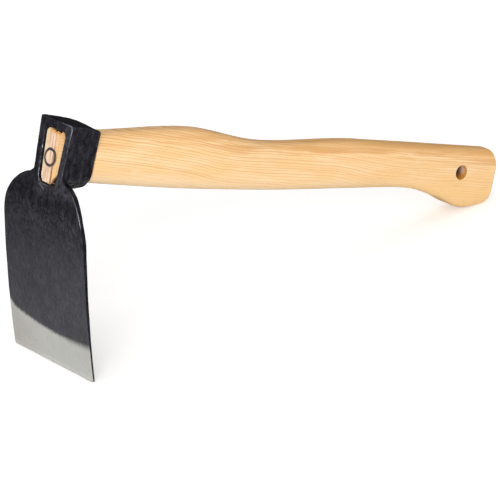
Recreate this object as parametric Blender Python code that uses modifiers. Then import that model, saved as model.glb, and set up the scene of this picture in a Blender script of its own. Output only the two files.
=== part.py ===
"""Hand hoe: a forged head with a tapered eye, a sculpted ash handle and a steel ring wedge.

The pieces are modelled in the tool's own frame: the origin is the middle of the eye, in the plane of the
socket's front face, X runs towards the butt, Y across the tool and Z up the socket's front face. They hang
on one empty, which stands the tool on its cutting edge and the drop of its butt, as it is set down.
"""

import math

import bmesh
import bpy
import numpy as np
from mathutils import Vector

MM = 0.001

# Fits
FIT_GAP = 0.3 * MM

# Eye, measured in the socket's front face
EYE_HEIGHT = 33.0 * MM
EYE_TOP_WIDTH = 21.0 * MM
EYE_FOOT_WIDTH = 17.2 * MM
EYE_TOP_CORNER = 3.2 * MM
EYE_FOOT_CORNER = 5.0 * MM
EYE_SIDE_TAPER = 2.1 * MM
EYE_ROOF_FALL = 1.5 * MM
EYE_FLOOR_RISE = 3.0 * MM

# Socket round the eye
SOCKET_DEPTH = 24.0 * MM
SOCKET_SIDE_WALL = 5.2 * MM
SOCKET_ROOF_WALL = 5.6 * MM
SOCKET_SIDE_TAPER = 3.2 * MM
SOCKET_ROOF_FALL = 2.8 * MM
SOCKET_EDGE_RADIUS = 1.2 * MM
CHIN_WALL = 5.0 * MM
CHIN_ROUNDING = 11.0 * MM
CHIN_FILLET = 5.5 * MM
CHIN_FOOT_WIDTH = 10.0 * MM

# Blade
BLADE_WIDTH = 81.9 * MM
EDGE_NARROWING = 1.3 * MM
EDGE_DROP = 124.0 * MM
SHOULDER_DROP = 11.2 * MM
SHOULDER_RUN = 30.8 * MM
SHOULDER_HEIGHT = 34.2 * MM
NECK_FILLET = 2.5 * MM
BEND_DROP = 19.3 * MM
BEND_LENGTH = 17.2 * MM
LEAN_BELOW_BEND = math.radians(14.3)
LEAN_AT_EDGE = math.radians(19.6)
ROOT_THICKNESS = 4.4 * MM
BLADE_THICKNESS = 2.6 * MM
GROUND_START_THICKNESS = 1.3 * MM
EDGE_THICKNESS = 0.5 * MM
THINNING_DROP = 8.0 * MM
THINNING_LENGTH = 32.0 * MM
GROUND_LENGTH = 19.0 * MM
BLADE_CAMBER = 0.4 * MM
BLADE_EDGE_RADIUS = 0.6 * MM
RIB_SPREAD = 22.0 * MM
RIB_LENGTH = 60.0 * MM

# Handle lines: heights over the eye's middle, with places measured from the socket's rear face or the butt
HANDLE_LENGTH = 349.7 * MM
TONGUE_RECESS = 1.5 * MM
TONGUE_CHAMFER = 0.3 * MM
COLLAR_TOP = 16.7 * MM
COLLAR_DROP = 13.7 * MM
COLLAR_WIDTH = 22.4 * MM
COLLAR_RADIUS = 1.2 * MM
THROAT_AT = 17.0 * MM
THROAT_TOP = 18.2 * MM
HUMP_AT = 73.5 * MM
HUMP_TOP = 22.4 * MM
BELLY_AT = 66.0 * MM
BELLY_DROP = 14.4 * MM
BELLY_WIDTH = 24.6 * MM
WAIST_AT = 131.0 * MM
WAIST_TOP = 16.8 * MM
WAIST_DROP = 13.2 * MM
WAIST_WIDTH = 23.2 * MM
PALM_FROM_BUTT = 116.0 * MM
PALM_TOP = 21.2 * MM
PALM_DROP = 9.0 * MM
PALM_WIDTH = 24.8 * MM
HOLLOW_FROM_BUTT = 75.0 * MM
HOLLOW_DROP = 6.7 * MM
HEEL_FROM_BUTT = 43.7 * MM
HEEL_DROP = 12.1 * MM
KNOB_FROM_BUTT = 23.3 * MM
KNOB_DROP = 17.7 * MM
BUTT_TOP = 21.2 * MM
BUTT_DROP = 13.8 * MM
BUTT_TOP_RADIUS = 11.7 * MM
BUTT_FOOT_RADIUS = 9.4 * MM
BUTT_EDGE_RADIUS = 2.2 * MM
CHEEK_LENGTH = 58.0 * MM
CHEEK_WIDTH = 22.0 * MM
GRIP_ROUNDNESS = 0.78
CHEEK_ROUNDNESS = 0.42

# Hang hole across the butt
HANG_HOLE_DIAMETER = 10.0 * MM
HANG_HOLE_FROM_BUTT = 31.7 * MM
HANG_HOLE_HEIGHT = 6.0 * MM

# Ring wedge in the end grain, and the split that it opened
RING_DIAMETER = 11.4 * MM
RING_WALL = 1.4 * MM
RING_TIP_WALL = 0.6 * MM
RING_LENGTH = 10.0 * MM
RING_PROUD = 0.2 * MM
RING_DROP = 0.7 * MM
RING_SIDE_WOOD = 0.4 * MM
SPLIT_TURN = math.radians(46)
SPLIT_WIDTH = 0.7 * MM
SPLIT_DEPTH = 4.0 * MM

# Fineness of the rounded forms
CORNER_STEPS = 8
ROUND_STEPS = 48
HANDLE_STEP = 8.0 * MM
HEAD_STEP = 0.15 * MM
CUT_OVERRUN = 5.0 * MM

# Heights and places that follow from the sizes above
EYE_TOP = EYE_HEIGHT / 2
EYE_FOOT = -EYE_HEIGHT / 2
SOCKET_TOP = EYE_TOP + SOCKET_ROOF_WALL
CHIN_BOTTOM = EYE_FOOT + EYE_FLOOR_RISE - CHIN_WALL
SHOULDER_TOP = -SHOULDER_DROP
CUTTING_EDGE = -EDGE_DROP
COLLAR_X = SOCKET_DEPTH + FIT_GAP
BUTT_X = TONGUE_RECESS + HANDLE_LENGTH


def blend(low, high, share):
    """Value a share of the way from low to high."""
    return low + (high - low) * share


def ease(share):
    """Smooth step from 0 to 1."""
    share = min(max(share, 0.0), 1.0)
    return share * share * (3 - 2 * share)


def quarter(steps):
    """Angles of a quarter turn, both ends included."""
    return [math.pi / 2 * step / steps for step in range(steps + 1)]


def drop_of_arc(reach, radius):
    """How far a round of the given radius falls away, from 0 at reach 0 to radius at reach radius."""
    reach = min(max(reach, 0.0), radius)
    return radius - math.sqrt(max(radius * radius - reach * reach, 0.0))


def curve_through(stations):
    """Smooth line through (place, height) stations, level at each hump and dip."""
    places, heights = (np.array(column) for column in zip(*sorted(stations)))
    steps = np.diff(places)
    slopes = np.diff(heights) / steps
    tangents = np.zeros(len(places))
    tangents[0] = slopes[0]
    tangents[-1] = slopes[-1]
    for index in range(1, len(places) - 1):
        before, after = slopes[index - 1], slopes[index]
        if before * after > 0:
            tangents[index] = 2 * before * after / (before + after)

    def height(place):
        index = int(np.clip(np.searchsorted(places, place) - 1, 0, len(steps) - 1))
        step = steps[index]
        share = min(max((place - places[index]) / step, 0.0), 1.0)
        rise = heights[index + 1] - heights[index]
        leave = tangents[index] * step * share * (1 - share) ** 2
        arrive = tangents[index + 1] * step * share * share * (1 - share)
        return float(heights[index] + rise * ease(share) + leave - arrive)

    return height


def link(obj, collection, material=None):
    """Puts the object in its collection and gives it its material."""
    collection.objects.link(obj)
    if material:
        obj.data.materials.append(material)
    return obj


def finish_mesh(name, mesh_data, collection, material=None):
    """Object from a bmesh, with its faces turned outwards."""
    bmesh.ops.recalc_face_normals(mesh_data, faces=mesh_data.faces)
    mesh = bpy.data.meshes.new(name)
    mesh_data.to_mesh(mesh)
    mesh_data.free()
    return link(bpy.data.objects.new(name, mesh), collection, material)


def loft(name, sections, collection, material=None, closed=True):
    """Solid through unlike sections that have as many points each; an open section keeps its side open."""
    mesh_data = bmesh.new()
    rings = [[mesh_data.verts.new(point) for point in section] for section in sections]
    count = len(rings[0])
    spans = count if closed else count - 1
    for ring, following in zip(rings, rings[1:]):
        for index in range(spans):
            across = (index + 1) % count
            mesh_data.faces.new((ring[index], ring[across], following[across], following[index]))
    mesh_data.faces.new(rings[0])
    mesh_data.faces.new(rings[-1])
    return finish_mesh(name, mesh_data, collection, material)


def turned(name, profile, collection, material=None):
    """Ring turned about the X axis from a closed profile of (x, radius) points."""
    mesh_data = bmesh.new()
    corners = [mesh_data.verts.new((x, 0.0, radius)) for x, radius in profile]
    for index, corner in enumerate(corners):
        mesh_data.edges.new((corner, corners[(index + 1) % len(corners)]))
    mesh = bpy.data.meshes.new(name)
    mesh_data.to_mesh(mesh)
    mesh_data.free()
    obj = link(bpy.data.objects.new(name, mesh), collection, material)
    screw = obj.modifiers.new("turn", "SCREW")
    screw.axis = "X"
    screw.angle = 2 * math.pi
    screw.steps = ROUND_STEPS
    screw.render_steps = ROUND_STEPS
    screw.use_merge_vertices = True
    screw.merge_threshold = 0.00001
    return obj


def cut(obj, cutter, name):
    """Cuts the cutter out of the object, and hides the cutter."""
    boolean = obj.modifiers.new(name, "BOOLEAN")
    boolean.operation = "DIFFERENCE"
    boolean.solver = "EXACT"
    boolean.object = cutter
    cutter.hide_render = True
    cutter.display_type = "WIRE"


def shade(obj, angle):
    """Smooth shading with the edges sharper than the angle kept crisp."""
    obj.data.shade_smooth()
    obj.data.set_sharp_from_angle(angle=angle)


def make_material(name, color, roughness, metallic):
    """Principled material with one colour."""
    material = bpy.data.materials.new(name)
    material.use_nodes = True
    shader = material.node_tree.nodes["Principled BSDF"]
    shader.inputs["Base Color"].default_value = (*color, 1.0)
    shader.inputs["Roughness"].default_value = roughness
    shader.inputs["Metallic"].default_value = metallic
    material.diffuse_color = (*color, 1.0)
    return material


# The eye, which the socket and the handle's tongue share
def eye_half_width(height):
    """Half the eye's width in the front face at a height."""
    return blend(EYE_FOOT_WIDTH, EYE_TOP_WIDTH, (height - EYE_FOOT) / EYE_HEIGHT) / 2


def rounded_outline(x, top, foot, half_top, half_foot, top_corner, foot_corner):
    """Points of a tapered outline with four elliptical corners, in a plane across X."""
    points = []
    corners = (
        (1, top - top_corner[1], 0.0, top_corner),
        (-1, top - top_corner[1], math.pi / 2, top_corner),
        (-1, foot + foot_corner[1], math.pi, foot_corner),
        (1, foot + foot_corner[1], math.pi * 1.5, foot_corner),
    )
    for side, centre_height, start, (across, upright) in corners:
        for angle in quarter(CORNER_STEPS):
            height = centre_height + upright * math.sin(start + angle)
            y = side * (half_top - across) + across * math.cos(start + angle)
            taper = blend(half_foot / half_top, 1.0, (height - foot) / (top - foot))
            points.append((x, y * taper, height))
    return points


def eye_outline(x, gap=0.0):
    """Outline of the eye at a depth, drawn in by a gap all round."""
    share = x / SOCKET_DEPTH
    narrowing = EYE_SIDE_TAPER * share + gap
    top_corner = EYE_TOP_CORNER - gap
    foot_corner = EYE_FOOT_CORNER - gap
    return rounded_outline(
        x,
        EYE_TOP - EYE_ROOF_FALL * share - gap,
        EYE_FOOT + EYE_FLOOR_RISE * share + gap,
        EYE_TOP_WIDTH / 2 - narrowing,
        EYE_FOOT_WIDTH / 2 - narrowing,
        (top_corner, top_corner),
        (foot_corner, foot_corner),
    )


# The head, drawn as level sections from the socket's roof down to the cutting edge
def roof_inset(height):
    """How far the rounded edge of the socket's roof draws in at a height."""
    return drop_of_arc(height - (SOCKET_TOP - SOCKET_EDGE_RADIUS), SOCKET_EDGE_RADIUS)


def front_line(height):
    """Depth of the front face: upright at the socket, bent at the neck, then curving towards the handle."""
    lean = math.tan(LEAN_BELOW_BEND)
    below = -BEND_DROP - height
    if below <= 0:
        return 0.0
    if below < BEND_LENGTH:
        share = below / BEND_LENGTH
        return lean * BEND_LENGTH * (share**3 - share**4 / 2)
    run = below - BEND_LENGTH
    whole = EDGE_DROP - BEND_DROP - BEND_LENGTH
    return lean * BEND_LENGTH / 2 + lean * run + (math.tan(LEAN_AT_EDGE) - lean) * run * run / (2 * whole)


def plate_thickness(height):
    """Thickness of the blade's plate before its edge is ground."""
    thinned = ease((-THINNING_DROP - height) / THINNING_LENGTH)
    thickness = blend(ROOT_THICKNESS, BLADE_THICKNESS, thinned)
    below = -THINNING_DROP - THINNING_LENGTH - height
    whole = EDGE_DROP - THINNING_DROP - THINNING_LENGTH - GROUND_LENGTH
    wear = min(max(below / whole, 0.0), 1.0)
    return thickness - (BLADE_THICKNESS - GROUND_START_THICKNESS) * wear


def ground_away(height):
    """What grinding took off the front of the plate, down to the cutting edge's thickness."""
    share = (CUTTING_EDGE + GROUND_LENGTH - height) / GROUND_LENGTH
    return max(share, 0.0) * (GROUND_START_THICKNESS - EDGE_THICKNESS)


def socket_half_width(height):
    """Half the socket's width in its front face, before its foot rounds in."""
    return eye_half_width(height) + SOCKET_SIDE_WALL


def chin_share(height):
    """Share of the socket's width that is left as its foot rounds in to the chin."""
    below = (CHIN_BOTTOM + CHIN_ROUNDING - height) / CHIN_ROUNDING
    return math.sqrt(max(1 - max(below, 0.0) ** 2, 0.0))


def plate_half_width(height):
    """Half the width of the front face: socket, neck fillet, round shoulder and blade."""
    socket = socket_half_width(height) - roof_inset(height)
    fillet = drop_of_arc(SHOULDER_TOP + NECK_FILLET - height, NECK_FILLET)
    if height > SHOULDER_TOP:
        return socket + fillet
    shoulder_foot = SHOULDER_TOP - SHOULDER_HEIGHT
    if height > shoulder_foot:
        rise = (height - shoulder_foot) / SHOULDER_HEIGHT
        round_half = BLADE_WIDTH / 2 - SHOULDER_RUN * (1 - math.sqrt(max(1 - rise * rise, 0.0)))
        return max(round_half, socket_half_width(SHOULDER_TOP) + NECK_FILLET)
    share = (shoulder_foot - height) / (shoulder_foot - CUTTING_EDGE)
    return (BLADE_WIDTH - EDGE_NARROWING * share) / 2


def head_section(height):
    """One side of the head's section at a height, from the middle of the front to the middle of the back."""
    inset = roof_inset(height)
    front = front_line(height) + inset + ground_away(height)
    plate_back = front_line(height) + plate_thickness(height)
    plate_half = plate_half_width(height)
    below_chin = CHIN_BOTTOM - height
    if below_chin < 0:
        rear = SOCKET_DEPTH - inset - drop_of_arc(SOCKET_EDGE_RADIUS + below_chin, SOCKET_EDGE_RADIUS)
        front_half = (socket_half_width(height) - inset) * chin_share(height)
        draft = SOCKET_SIDE_TAPER / SOCKET_DEPTH * chin_share(height)
        fillet = NECK_FILLET
        softness = 0.0
    else:
        root = CHIN_FILLET - math.sqrt(max(CHIN_FILLET**2 - max(CHIN_FILLET - below_chin, 0.0) ** 2, 0.0))
        fade = (height - CUTTING_EDGE) / (CHIN_BOTTOM - CUTTING_EDGE)
        rear = plate_back + root + BLADE_CAMBER * fade + EDGE_THICKNESS / 5
        softness = ease(below_chin / RIB_LENGTH)
        front_half = CHIN_FOOT_WIDTH / 2 + RIB_SPREAD * softness
        draft = SOCKET_SIDE_TAPER / SOCKET_DEPTH
        fillet = blend(NECK_FILLET, RIB_SPREAD / 2, softness)

    def side(x):
        return max(front_half - draft * (x - front), front_half / 2)

    plate = plate_back - front
    rounding = min(BLADE_EDGE_RADIUS, plate * 0.3)
    reach = plate_half - front_half
    back_rounding = min(rounding, reach / 2)
    fillet_across = min(fillet, reach / 2)
    fillet_deep = min(NECK_FILLET, (rear - plate_back) * 0.4)
    corner = min(SOCKET_EDGE_RADIUS, (rear - plate_back) * 0.4)
    corner_across = min(blend(SOCKET_EDGE_RADIUS, RIB_SPREAD, softness), side(rear) * 0.75)

    points = [(front, (plate_half - rounding) * step / 4) for step in range(4)]
    for angle in quarter(3):
        x = front + rounding * (1 - math.cos(angle))
        points.append((x, plate_half - rounding * (1 - math.sin(angle))))
    for angle in quarter(2):
        x = plate_back - rounding * (1 - math.sin(angle))
        points.append((x, side(x) + reach - back_rounding * (1 - math.cos(angle))))
    for angle in quarter(3):
        x = plate_back + fillet_deep * blend(0.08, 1.0, 1 - math.cos(angle))
        points.append((x, side(x) + fillet_across * (1 - math.sin(angle))))
    for angle in quarter(3):
        x = rear - corner * (1 - math.sin(angle))
        points.append((x, side(x) - corner_across * (1 - math.cos(angle))))
    points.append((rear, (side(rear) - corner_across) / 2))
    points.append((rear, 0.0))
    fall = SOCKET_ROOF_FALL * max(height / SOCKET_TOP, 0.0)
    return [(x, y, height - fall * (x / SOCKET_DEPTH) ** 2) for x, y in points]


def head_heights():
    """Heights of the sections, closest where the outline turns fastest, and never nearer than the least step."""
    heights = [SOCKET_TOP - SOCKET_EDGE_RADIUS * (1 - math.sin(angle)) for angle in quarter(3)]
    heights += list(np.linspace(SOCKET_TOP - SOCKET_EDGE_RADIUS, CHIN_BOTTOM + CHIN_ROUNDING, 5)[1:-1])
    heights += [SHOULDER_TOP + NECK_FILLET * (1 - math.sin(angle)) for angle in quarter(4)]
    shoulder_foot = SHOULDER_TOP - SHOULDER_HEIGHT
    heights += [shoulder_foot + SHOULDER_HEIGHT * math.cos(angle) for angle in quarter(14)]
    heights += [CHIN_BOTTOM + CHIN_ROUNDING * (1 - math.sin(angle)) for angle in quarter(10)[:-1]]
    heights += [CHIN_BOTTOM - CHIN_FILLET * (1 - math.cos(angle)) for angle in quarter(4)]
    heights += list(np.linspace(shoulder_foot, CUTTING_EDGE + GROUND_LENGTH, 10)[1:])
    heights += list(np.linspace(CUTTING_EDGE + GROUND_LENGTH, CUTTING_EDGE, 5)[1:])
    kept = []
    for height in sorted(heights, reverse=True):
        if not kept or kept[-1] - height > HEAD_STEP:
            kept.append(height)
    return kept


def build_head(parts, cutters, material):
    """Forged head: half of it lofted from the roof to the cutting edge, mirrored, with the eye cut through."""
    sections = [head_section(height) for height in head_heights()]
    head = loft("forged_head", sections, parts, material, closed=False)
    mirror = head.modifiers.new("other half", "MIRROR")
    mirror.use_axis = (False, True, False)
    mirror.merge_threshold = 0.00001
    ends = (-CUT_OVERRUN, SOCKET_DEPTH + CUT_OVERRUN)
    cut(head, loft("eye_cutter", [eye_outline(x) for x in ends], cutters), "eye")
    shade(head, math.radians(40))
    return head


# The handle, drawn as sections across X from the tongue's end to the butt
def handle_lines():
    """The handle's back line, belly line and half width, each a function of the place along it."""
    top = curve_through(
        [
            (COLLAR_X, COLLAR_TOP),
            (COLLAR_X + THROAT_AT, THROAT_TOP),
            (COLLAR_X + HUMP_AT, HUMP_TOP),
            (COLLAR_X + WAIST_AT, WAIST_TOP),
            (BUTT_X - PALM_FROM_BUTT, PALM_TOP),
            (BUTT_X, BUTT_TOP),
        ]
    )
    foot = curve_through(
        [
            (COLLAR_X, -COLLAR_DROP),
            (COLLAR_X + BELLY_AT, -BELLY_DROP),
            (COLLAR_X + WAIST_AT, -WAIST_DROP),
            (BUTT_X - PALM_FROM_BUTT, -PALM_DROP),
            (BUTT_X - HOLLOW_FROM_BUTT, -HOLLOW_DROP),
            (BUTT_X - HEEL_FROM_BUTT, -HEEL_DROP),
            (BUTT_X - KNOB_FROM_BUTT, -KNOB_DROP),
            (BUTT_X, -BUTT_DROP),
        ]
    )
    half = curve_through(
        [
            (COLLAR_X, COLLAR_WIDTH / 2),
            (COLLAR_X + BELLY_AT, BELLY_WIDTH / 2),
            (COLLAR_X + WAIST_AT, WAIST_WIDTH / 2),
            (BUTT_X - PALM_FROM_BUTT, PALM_WIDTH / 2),
            (BUTT_X - CHEEK_LENGTH, CHEEK_WIDTH / 2),
            (BUTT_X, CHEEK_WIDTH / 2),
        ]
    )
    return top, foot, half


def handle_section(x, lines):
    """Section of the handle's body: oval in the grip, flat on the cheeks, rounded off at collar and butt."""
    top_line, foot_line, half_line = lines
    from_butt = BUTT_X - x
    inset = drop_of_arc(COLLAR_RADIUS - (x - COLLAR_X), COLLAR_RADIUS)
    inset += drop_of_arc(BUTT_EDGE_RADIUS - from_butt, BUTT_EDGE_RADIUS)
    top = top_line(x) - inset - drop_of_arc(BUTT_TOP_RADIUS - from_butt, BUTT_TOP_RADIUS)
    foot = foot_line(x) + inset + drop_of_arc(BUTT_FOOT_RADIUS - from_butt, BUTT_FOOT_RADIUS)
    half = half_line(x) - inset
    roundness = blend(CHEEK_ROUNDNESS, GRIP_ROUNDNESS, ease((from_butt - CHEEK_LENGTH) / CHEEK_LENGTH))
    corner = (half * roundness, (top - foot) / 2 * roundness)
    return rounded_outline(x, top, foot, half, half, corner, corner)


def handle_sections():
    """All of the handle's sections: tongue, collar and body."""
    front = TONGUE_RECESS
    sections = [eye_outline(front, FIT_GAP + TONGUE_CHAMFER)]
    sections += [eye_outline(x, FIT_GAP) for x in np.linspace(front + TONGUE_CHAMFER, COLLAR_X, 4)]
    lines = handle_lines()
    places = [COLLAR_X + COLLAR_RADIUS * (1 - math.cos(angle)) for angle in quarter(3)]
    body_end = BUTT_X - BUTT_TOP_RADIUS
    count = math.ceil((body_end - places[-1]) / HANDLE_STEP)
    places += list(np.linspace(places[-1], body_end, count + 1)[1:])
    places += [BUTT_X - BUTT_TOP_RADIUS * (1 - math.sin(angle)) for angle in quarter(6)[1:-1]]
    places += [BUTT_X - BUTT_EDGE_RADIUS * (1 - math.sin(angle)) for angle in quarter(3)]
    return sections + [handle_section(x, lines) for x in sorted(places)]


def ring_profile(gap):
    """Profile of the ring wedge, grown by a gap on every face; its outer side tapers to the tip."""
    outer = RING_DIAMETER / 2 + gap
    inner = RING_DIAMETER / 2 - RING_WALL - gap
    front = TONGUE_RECESS - RING_PROUD
    tip = front + RING_LENGTH + gap
    return [(front, outer), (front, inner), (tip, inner), (tip, inner + 2 * gap + RING_TIP_WALL)]


def ring_kerf_profile():
    """Profile of the groove that the ring wedge sits in, open through the end of the tongue."""
    outer, inner, tip_inner, tip_outer = ring_profile(FIT_GAP)
    mouth = TONGUE_RECESS - CUT_OVERRUN
    return [(mouth, outer[1]), (mouth, inner[1]), tip_inner, tip_outer, outer]


def ring_offset():
    """How far the ring sits to the far side, up to the wood left between its groove and the tongue's side."""
    groove = ring_kerf_profile()
    tip, mouth = groove[3], groove[4]
    half = eye_half_width(-RING_DROP) - FIT_GAP
    room_at_tip = half - EYE_SIDE_TAPER * tip[0] / SOCKET_DEPTH - tip[1]
    room_at_mouth = half - EYE_SIDE_TAPER * mouth[0] / SOCKET_DEPTH - TONGUE_CHAMFER - mouth[1]
    return min(room_at_tip, room_at_mouth) - RING_SIDE_WOOD


def off_middle(obj):
    """Moves a turned piece from the eye's axis to where the ring was driven in."""
    obj.location = (0.0, ring_offset(), -RING_DROP)
    return obj


def split_cutter(cutters):
    """Thin wedge that opens the tongue from the middle of the ring's wall to the foot, on the near side."""
    mesh_data = bmesh.new()
    bmesh.ops.create_cube(mesh_data, size=1.0)
    middle_radius = (RING_DIAMETER - RING_WALL) / 2
    across = ring_offset() - middle_radius * math.sin(SPLIT_TURN)
    top = -RING_DROP - middle_radius * math.cos(SPLIT_TURN)
    foot = EYE_FOOT - CUT_OVERRUN
    mouth = TONGUE_RECESS - CUT_OVERRUN
    deep = TONGUE_RECESS + SPLIT_DEPTH
    for vert in mesh_data.verts:
        width = SPLIT_WIDTH if vert.co.x < 0 else SPLIT_WIDTH / 4
        x = mouth if vert.co.x < 0 else deep
        vert.co = Vector((x, across + vert.co.y * width, foot if vert.co.z < 0 else top))
    return finish_mesh("split_cutter", mesh_data, cutters)


def hang_hole_cutter(cutters):
    """Cylinder across the butt, longer than the handle is wide."""
    mesh_data = bmesh.new()
    bmesh.ops.create_cone(
        mesh_data,
        cap_ends=True,
        segments=ROUND_STEPS,
        radius1=HANG_HOLE_DIAMETER / 2,
        radius2=HANG_HOLE_DIAMETER / 2,
        depth=CHEEK_WIDTH + 2 * CUT_OVERRUN,
    )
    cutter = finish_mesh("hang_hole_cutter", mesh_data, cutters)
    cutter.rotation_euler = (math.pi / 2, 0.0, 0.0)
    cutter.location = (BUTT_X - HANG_HOLE_FROM_BUTT, 0.0, HANG_HOLE_HEIGHT)
    return cutter


def build_handle(parts, cutters, material):
    """Ash handle with its hang hole, the ring's groove and the split below it."""
    handle = loft("handle", handle_sections(), parts, material)
    cut(handle, hang_hole_cutter(cutters), "hang hole")
    cut(handle, off_middle(turned("ring_groove_cutter", ring_kerf_profile(), cutters)), "ring groove")
    cut(handle, split_cutter(cutters), "split")
    shade(handle, math.radians(40))
    return handle


def build_ring_wedge(parts, material):
    """Steel ring driven into the end grain, a little to the far side."""
    ring = off_middle(turned("ring_wedge", ring_profile(0.0), parts, material))
    shade(ring, math.radians(40))
    return ring


def stand_on_edge_and_butt(pieces, collection):
    """Hangs the pieces on an empty that sets the cutting edge and the butt down on the ground."""
    clouds = [np.array([vert.co[:] for vert in piece.data.vertices]) for piece in pieces]
    head, handle = clouds[0], clouds[1]

    def lowest(points, tilt):
        return (points[:, 2] * math.cos(tilt) - points[:, 0] * math.sin(tilt)).min()

    low, high = 0.0, math.pi / 4
    for _ in range(40):
        tilt = (low + high) / 2
        if lowest(handle, tilt) > lowest(head, tilt):
            low = tilt
        else:
            high = tilt
    points = np.concatenate((head, handle))
    along = points[:, 0] * math.cos(tilt) + points[:, 2] * math.sin(tilt)
    stand = bpy.data.objects.new("hand_hoe_stand", None)
    stand.rotation_euler = (0.0, tilt, 0.0)
    stand.location = (-(along.min() + along.max()) / 2, 0.0, -lowest(points, tilt))
    collection.objects.link(stand)
    for piece in pieces:
        piece.parent = stand
    return stand


def main():
    for obj in list(bpy.data.objects):
        bpy.data.objects.remove(obj, do_unlink=True)
    parts = bpy.data.collections.new("hand_hoe")
    cutters = bpy.data.collections.new("hand_hoe_cutters")
    cutters.hide_render = True
    for collection in (parts, cutters):
        bpy.context.scene.collection.children.link(collection)

    lacquer = make_material("black_lacquered_steel", (0.018, 0.018, 0.022), 0.42, 0.2)
    ash = make_material("ash", (0.86, 0.6, 0.3), 0.55, 0.0)
    steel = make_material("wedge_steel", (0.12, 0.11, 0.1), 0.5, 0.9)

    head = build_head(parts, cutters, lacquer)
    handle = build_handle(parts, cutters, ash)
    ring = build_ring_wedge(parts, steel)
    stand = stand_on_edge_and_butt([head, handle, ring], parts)
    for cutter in cutters.objects:
        cutter.parent = stand


main()
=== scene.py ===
"""Looks of the hand hoe: forged lacquered head, sculpted ash handle and ring wedge in a soft white studio.

Every form is described in the tool's own frame, in millimetres: the origin is the middle of the eye in the
plane of the socket's front face, X runs to the butt, Y across the tool and Z up the socket's front face.
Stand carries that frame into the row's frame, in metres. A mark is a function of a place and the normal
there, both in the tool's frame, which a finish reads as an attribute of the mesh.
"""

from __future__ import annotations

import enum
import logging
import math
from dataclasses import dataclass, field
from typing import Callable, Sequence, Union

import bmesh
import bpy
from mathutils import Matrix, Vector, noise

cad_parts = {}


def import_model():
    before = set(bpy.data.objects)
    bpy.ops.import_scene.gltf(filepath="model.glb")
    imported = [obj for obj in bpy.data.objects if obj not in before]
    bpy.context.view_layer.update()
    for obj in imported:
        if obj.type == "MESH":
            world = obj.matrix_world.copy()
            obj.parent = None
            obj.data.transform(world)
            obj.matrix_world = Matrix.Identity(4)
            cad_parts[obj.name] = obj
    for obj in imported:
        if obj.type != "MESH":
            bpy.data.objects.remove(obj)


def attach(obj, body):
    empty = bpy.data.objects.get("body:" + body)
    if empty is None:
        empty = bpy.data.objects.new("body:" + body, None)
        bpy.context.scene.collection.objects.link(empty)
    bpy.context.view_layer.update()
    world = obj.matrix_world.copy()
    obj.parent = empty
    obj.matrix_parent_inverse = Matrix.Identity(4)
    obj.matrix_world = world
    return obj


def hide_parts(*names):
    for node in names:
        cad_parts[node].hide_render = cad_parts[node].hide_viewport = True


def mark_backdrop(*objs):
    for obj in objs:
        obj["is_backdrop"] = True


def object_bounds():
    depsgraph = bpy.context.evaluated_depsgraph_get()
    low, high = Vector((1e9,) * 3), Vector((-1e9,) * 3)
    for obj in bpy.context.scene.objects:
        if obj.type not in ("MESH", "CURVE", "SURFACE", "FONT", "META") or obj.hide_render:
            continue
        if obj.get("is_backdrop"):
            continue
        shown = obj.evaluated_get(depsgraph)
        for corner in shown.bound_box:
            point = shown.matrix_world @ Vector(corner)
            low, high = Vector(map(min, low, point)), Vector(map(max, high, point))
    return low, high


LOG = logging.getLogger("hand_hoe")

Point = tuple[float, float, float]
Outline = list[tuple[float, float]]
Mesh = bmesh.types.BMesh
Mark = Callable[[Vector, Vector], float]
Value = Union[float, Sequence[float], "Signal"]
Inputs = dict[Union[str, int], Value]
Signals = dict[str, "Signal"]

FLOAT, VECTOR = "NodeSocketFloat", "NodeSocketVector"
WHITE = (1.0, 1.0, 1.0, 1.0)
CREASE = math.radians(38)
SLIVER = 0.01
CORNER_FACETS = 12
SIDE_FACETS = 22


class Body(enum.Enum):
    """Rigid bodies of the row."""

    ROOT = "root"


class Node(enum.Enum):
    """CAD nodes that the looks stand for."""

    HEAD = "forged_head"
    HANDLE = "handle"
    RING = "ring_wedge"


class Slot(enum.Enum):
    """Material slots of the record."""

    LACQUER = "black_lacquered_steel"
    ASH = "ash"
    WEDGE = "wedge_steel"


# Curves and outlines


def blend(low: float, high: float, share: float) -> float:
    """Value a share of the way from low to high."""
    return low + (high - low) * share


def limit(value: float, low: float = 0.0, high: float = 1.0) -> float:
    """The value, held between low and high."""
    return min(max(value, low), high)


def ease(share: float) -> float:
    """Smooth step from 0 to 1."""
    share = limit(share)
    return share * share * (3 - 2 * share)


def fade(value: float, start: float, end: float) -> float:
    """Smooth step from 0, where the value is start, to 1, where it is end."""
    return ease((value - start) / (end - start))


def quarter_round(steps: int) -> Outline:
    """Points of a quarter circle of radius 1, as (how far along, how far is left) from (0, 1) to (1, 0)."""
    angles = [math.pi / 2 * step / steps for step in range(steps + 1)]
    return [(1 - math.cos(angle), 1 - math.sin(angle)) for angle in angles]


def spread(start: float, end: float, steps: int) -> list[float]:
    """Evenly spaced values from start to end, the start left out."""
    return [blend(start, end, (step + 1) / steps) for step in range(steps)]


def drop_of_arc(reach: float, radius: float) -> float:
    """How far a round of the given radius falls away, from 0 at reach 0 to radius at reach radius."""
    reach = limit(reach, 0.0, radius)
    return radius - math.sqrt(max(radius * radius - reach * reach, 0.0))


def soft_min(first: float, second: float, softness: float) -> float:
    """The smaller of two values, eased where they are closer than softness."""
    overlap = max(softness - abs(first - second), 0.0)
    return min(first, second) - overlap * overlap / (4 * softness)


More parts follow.
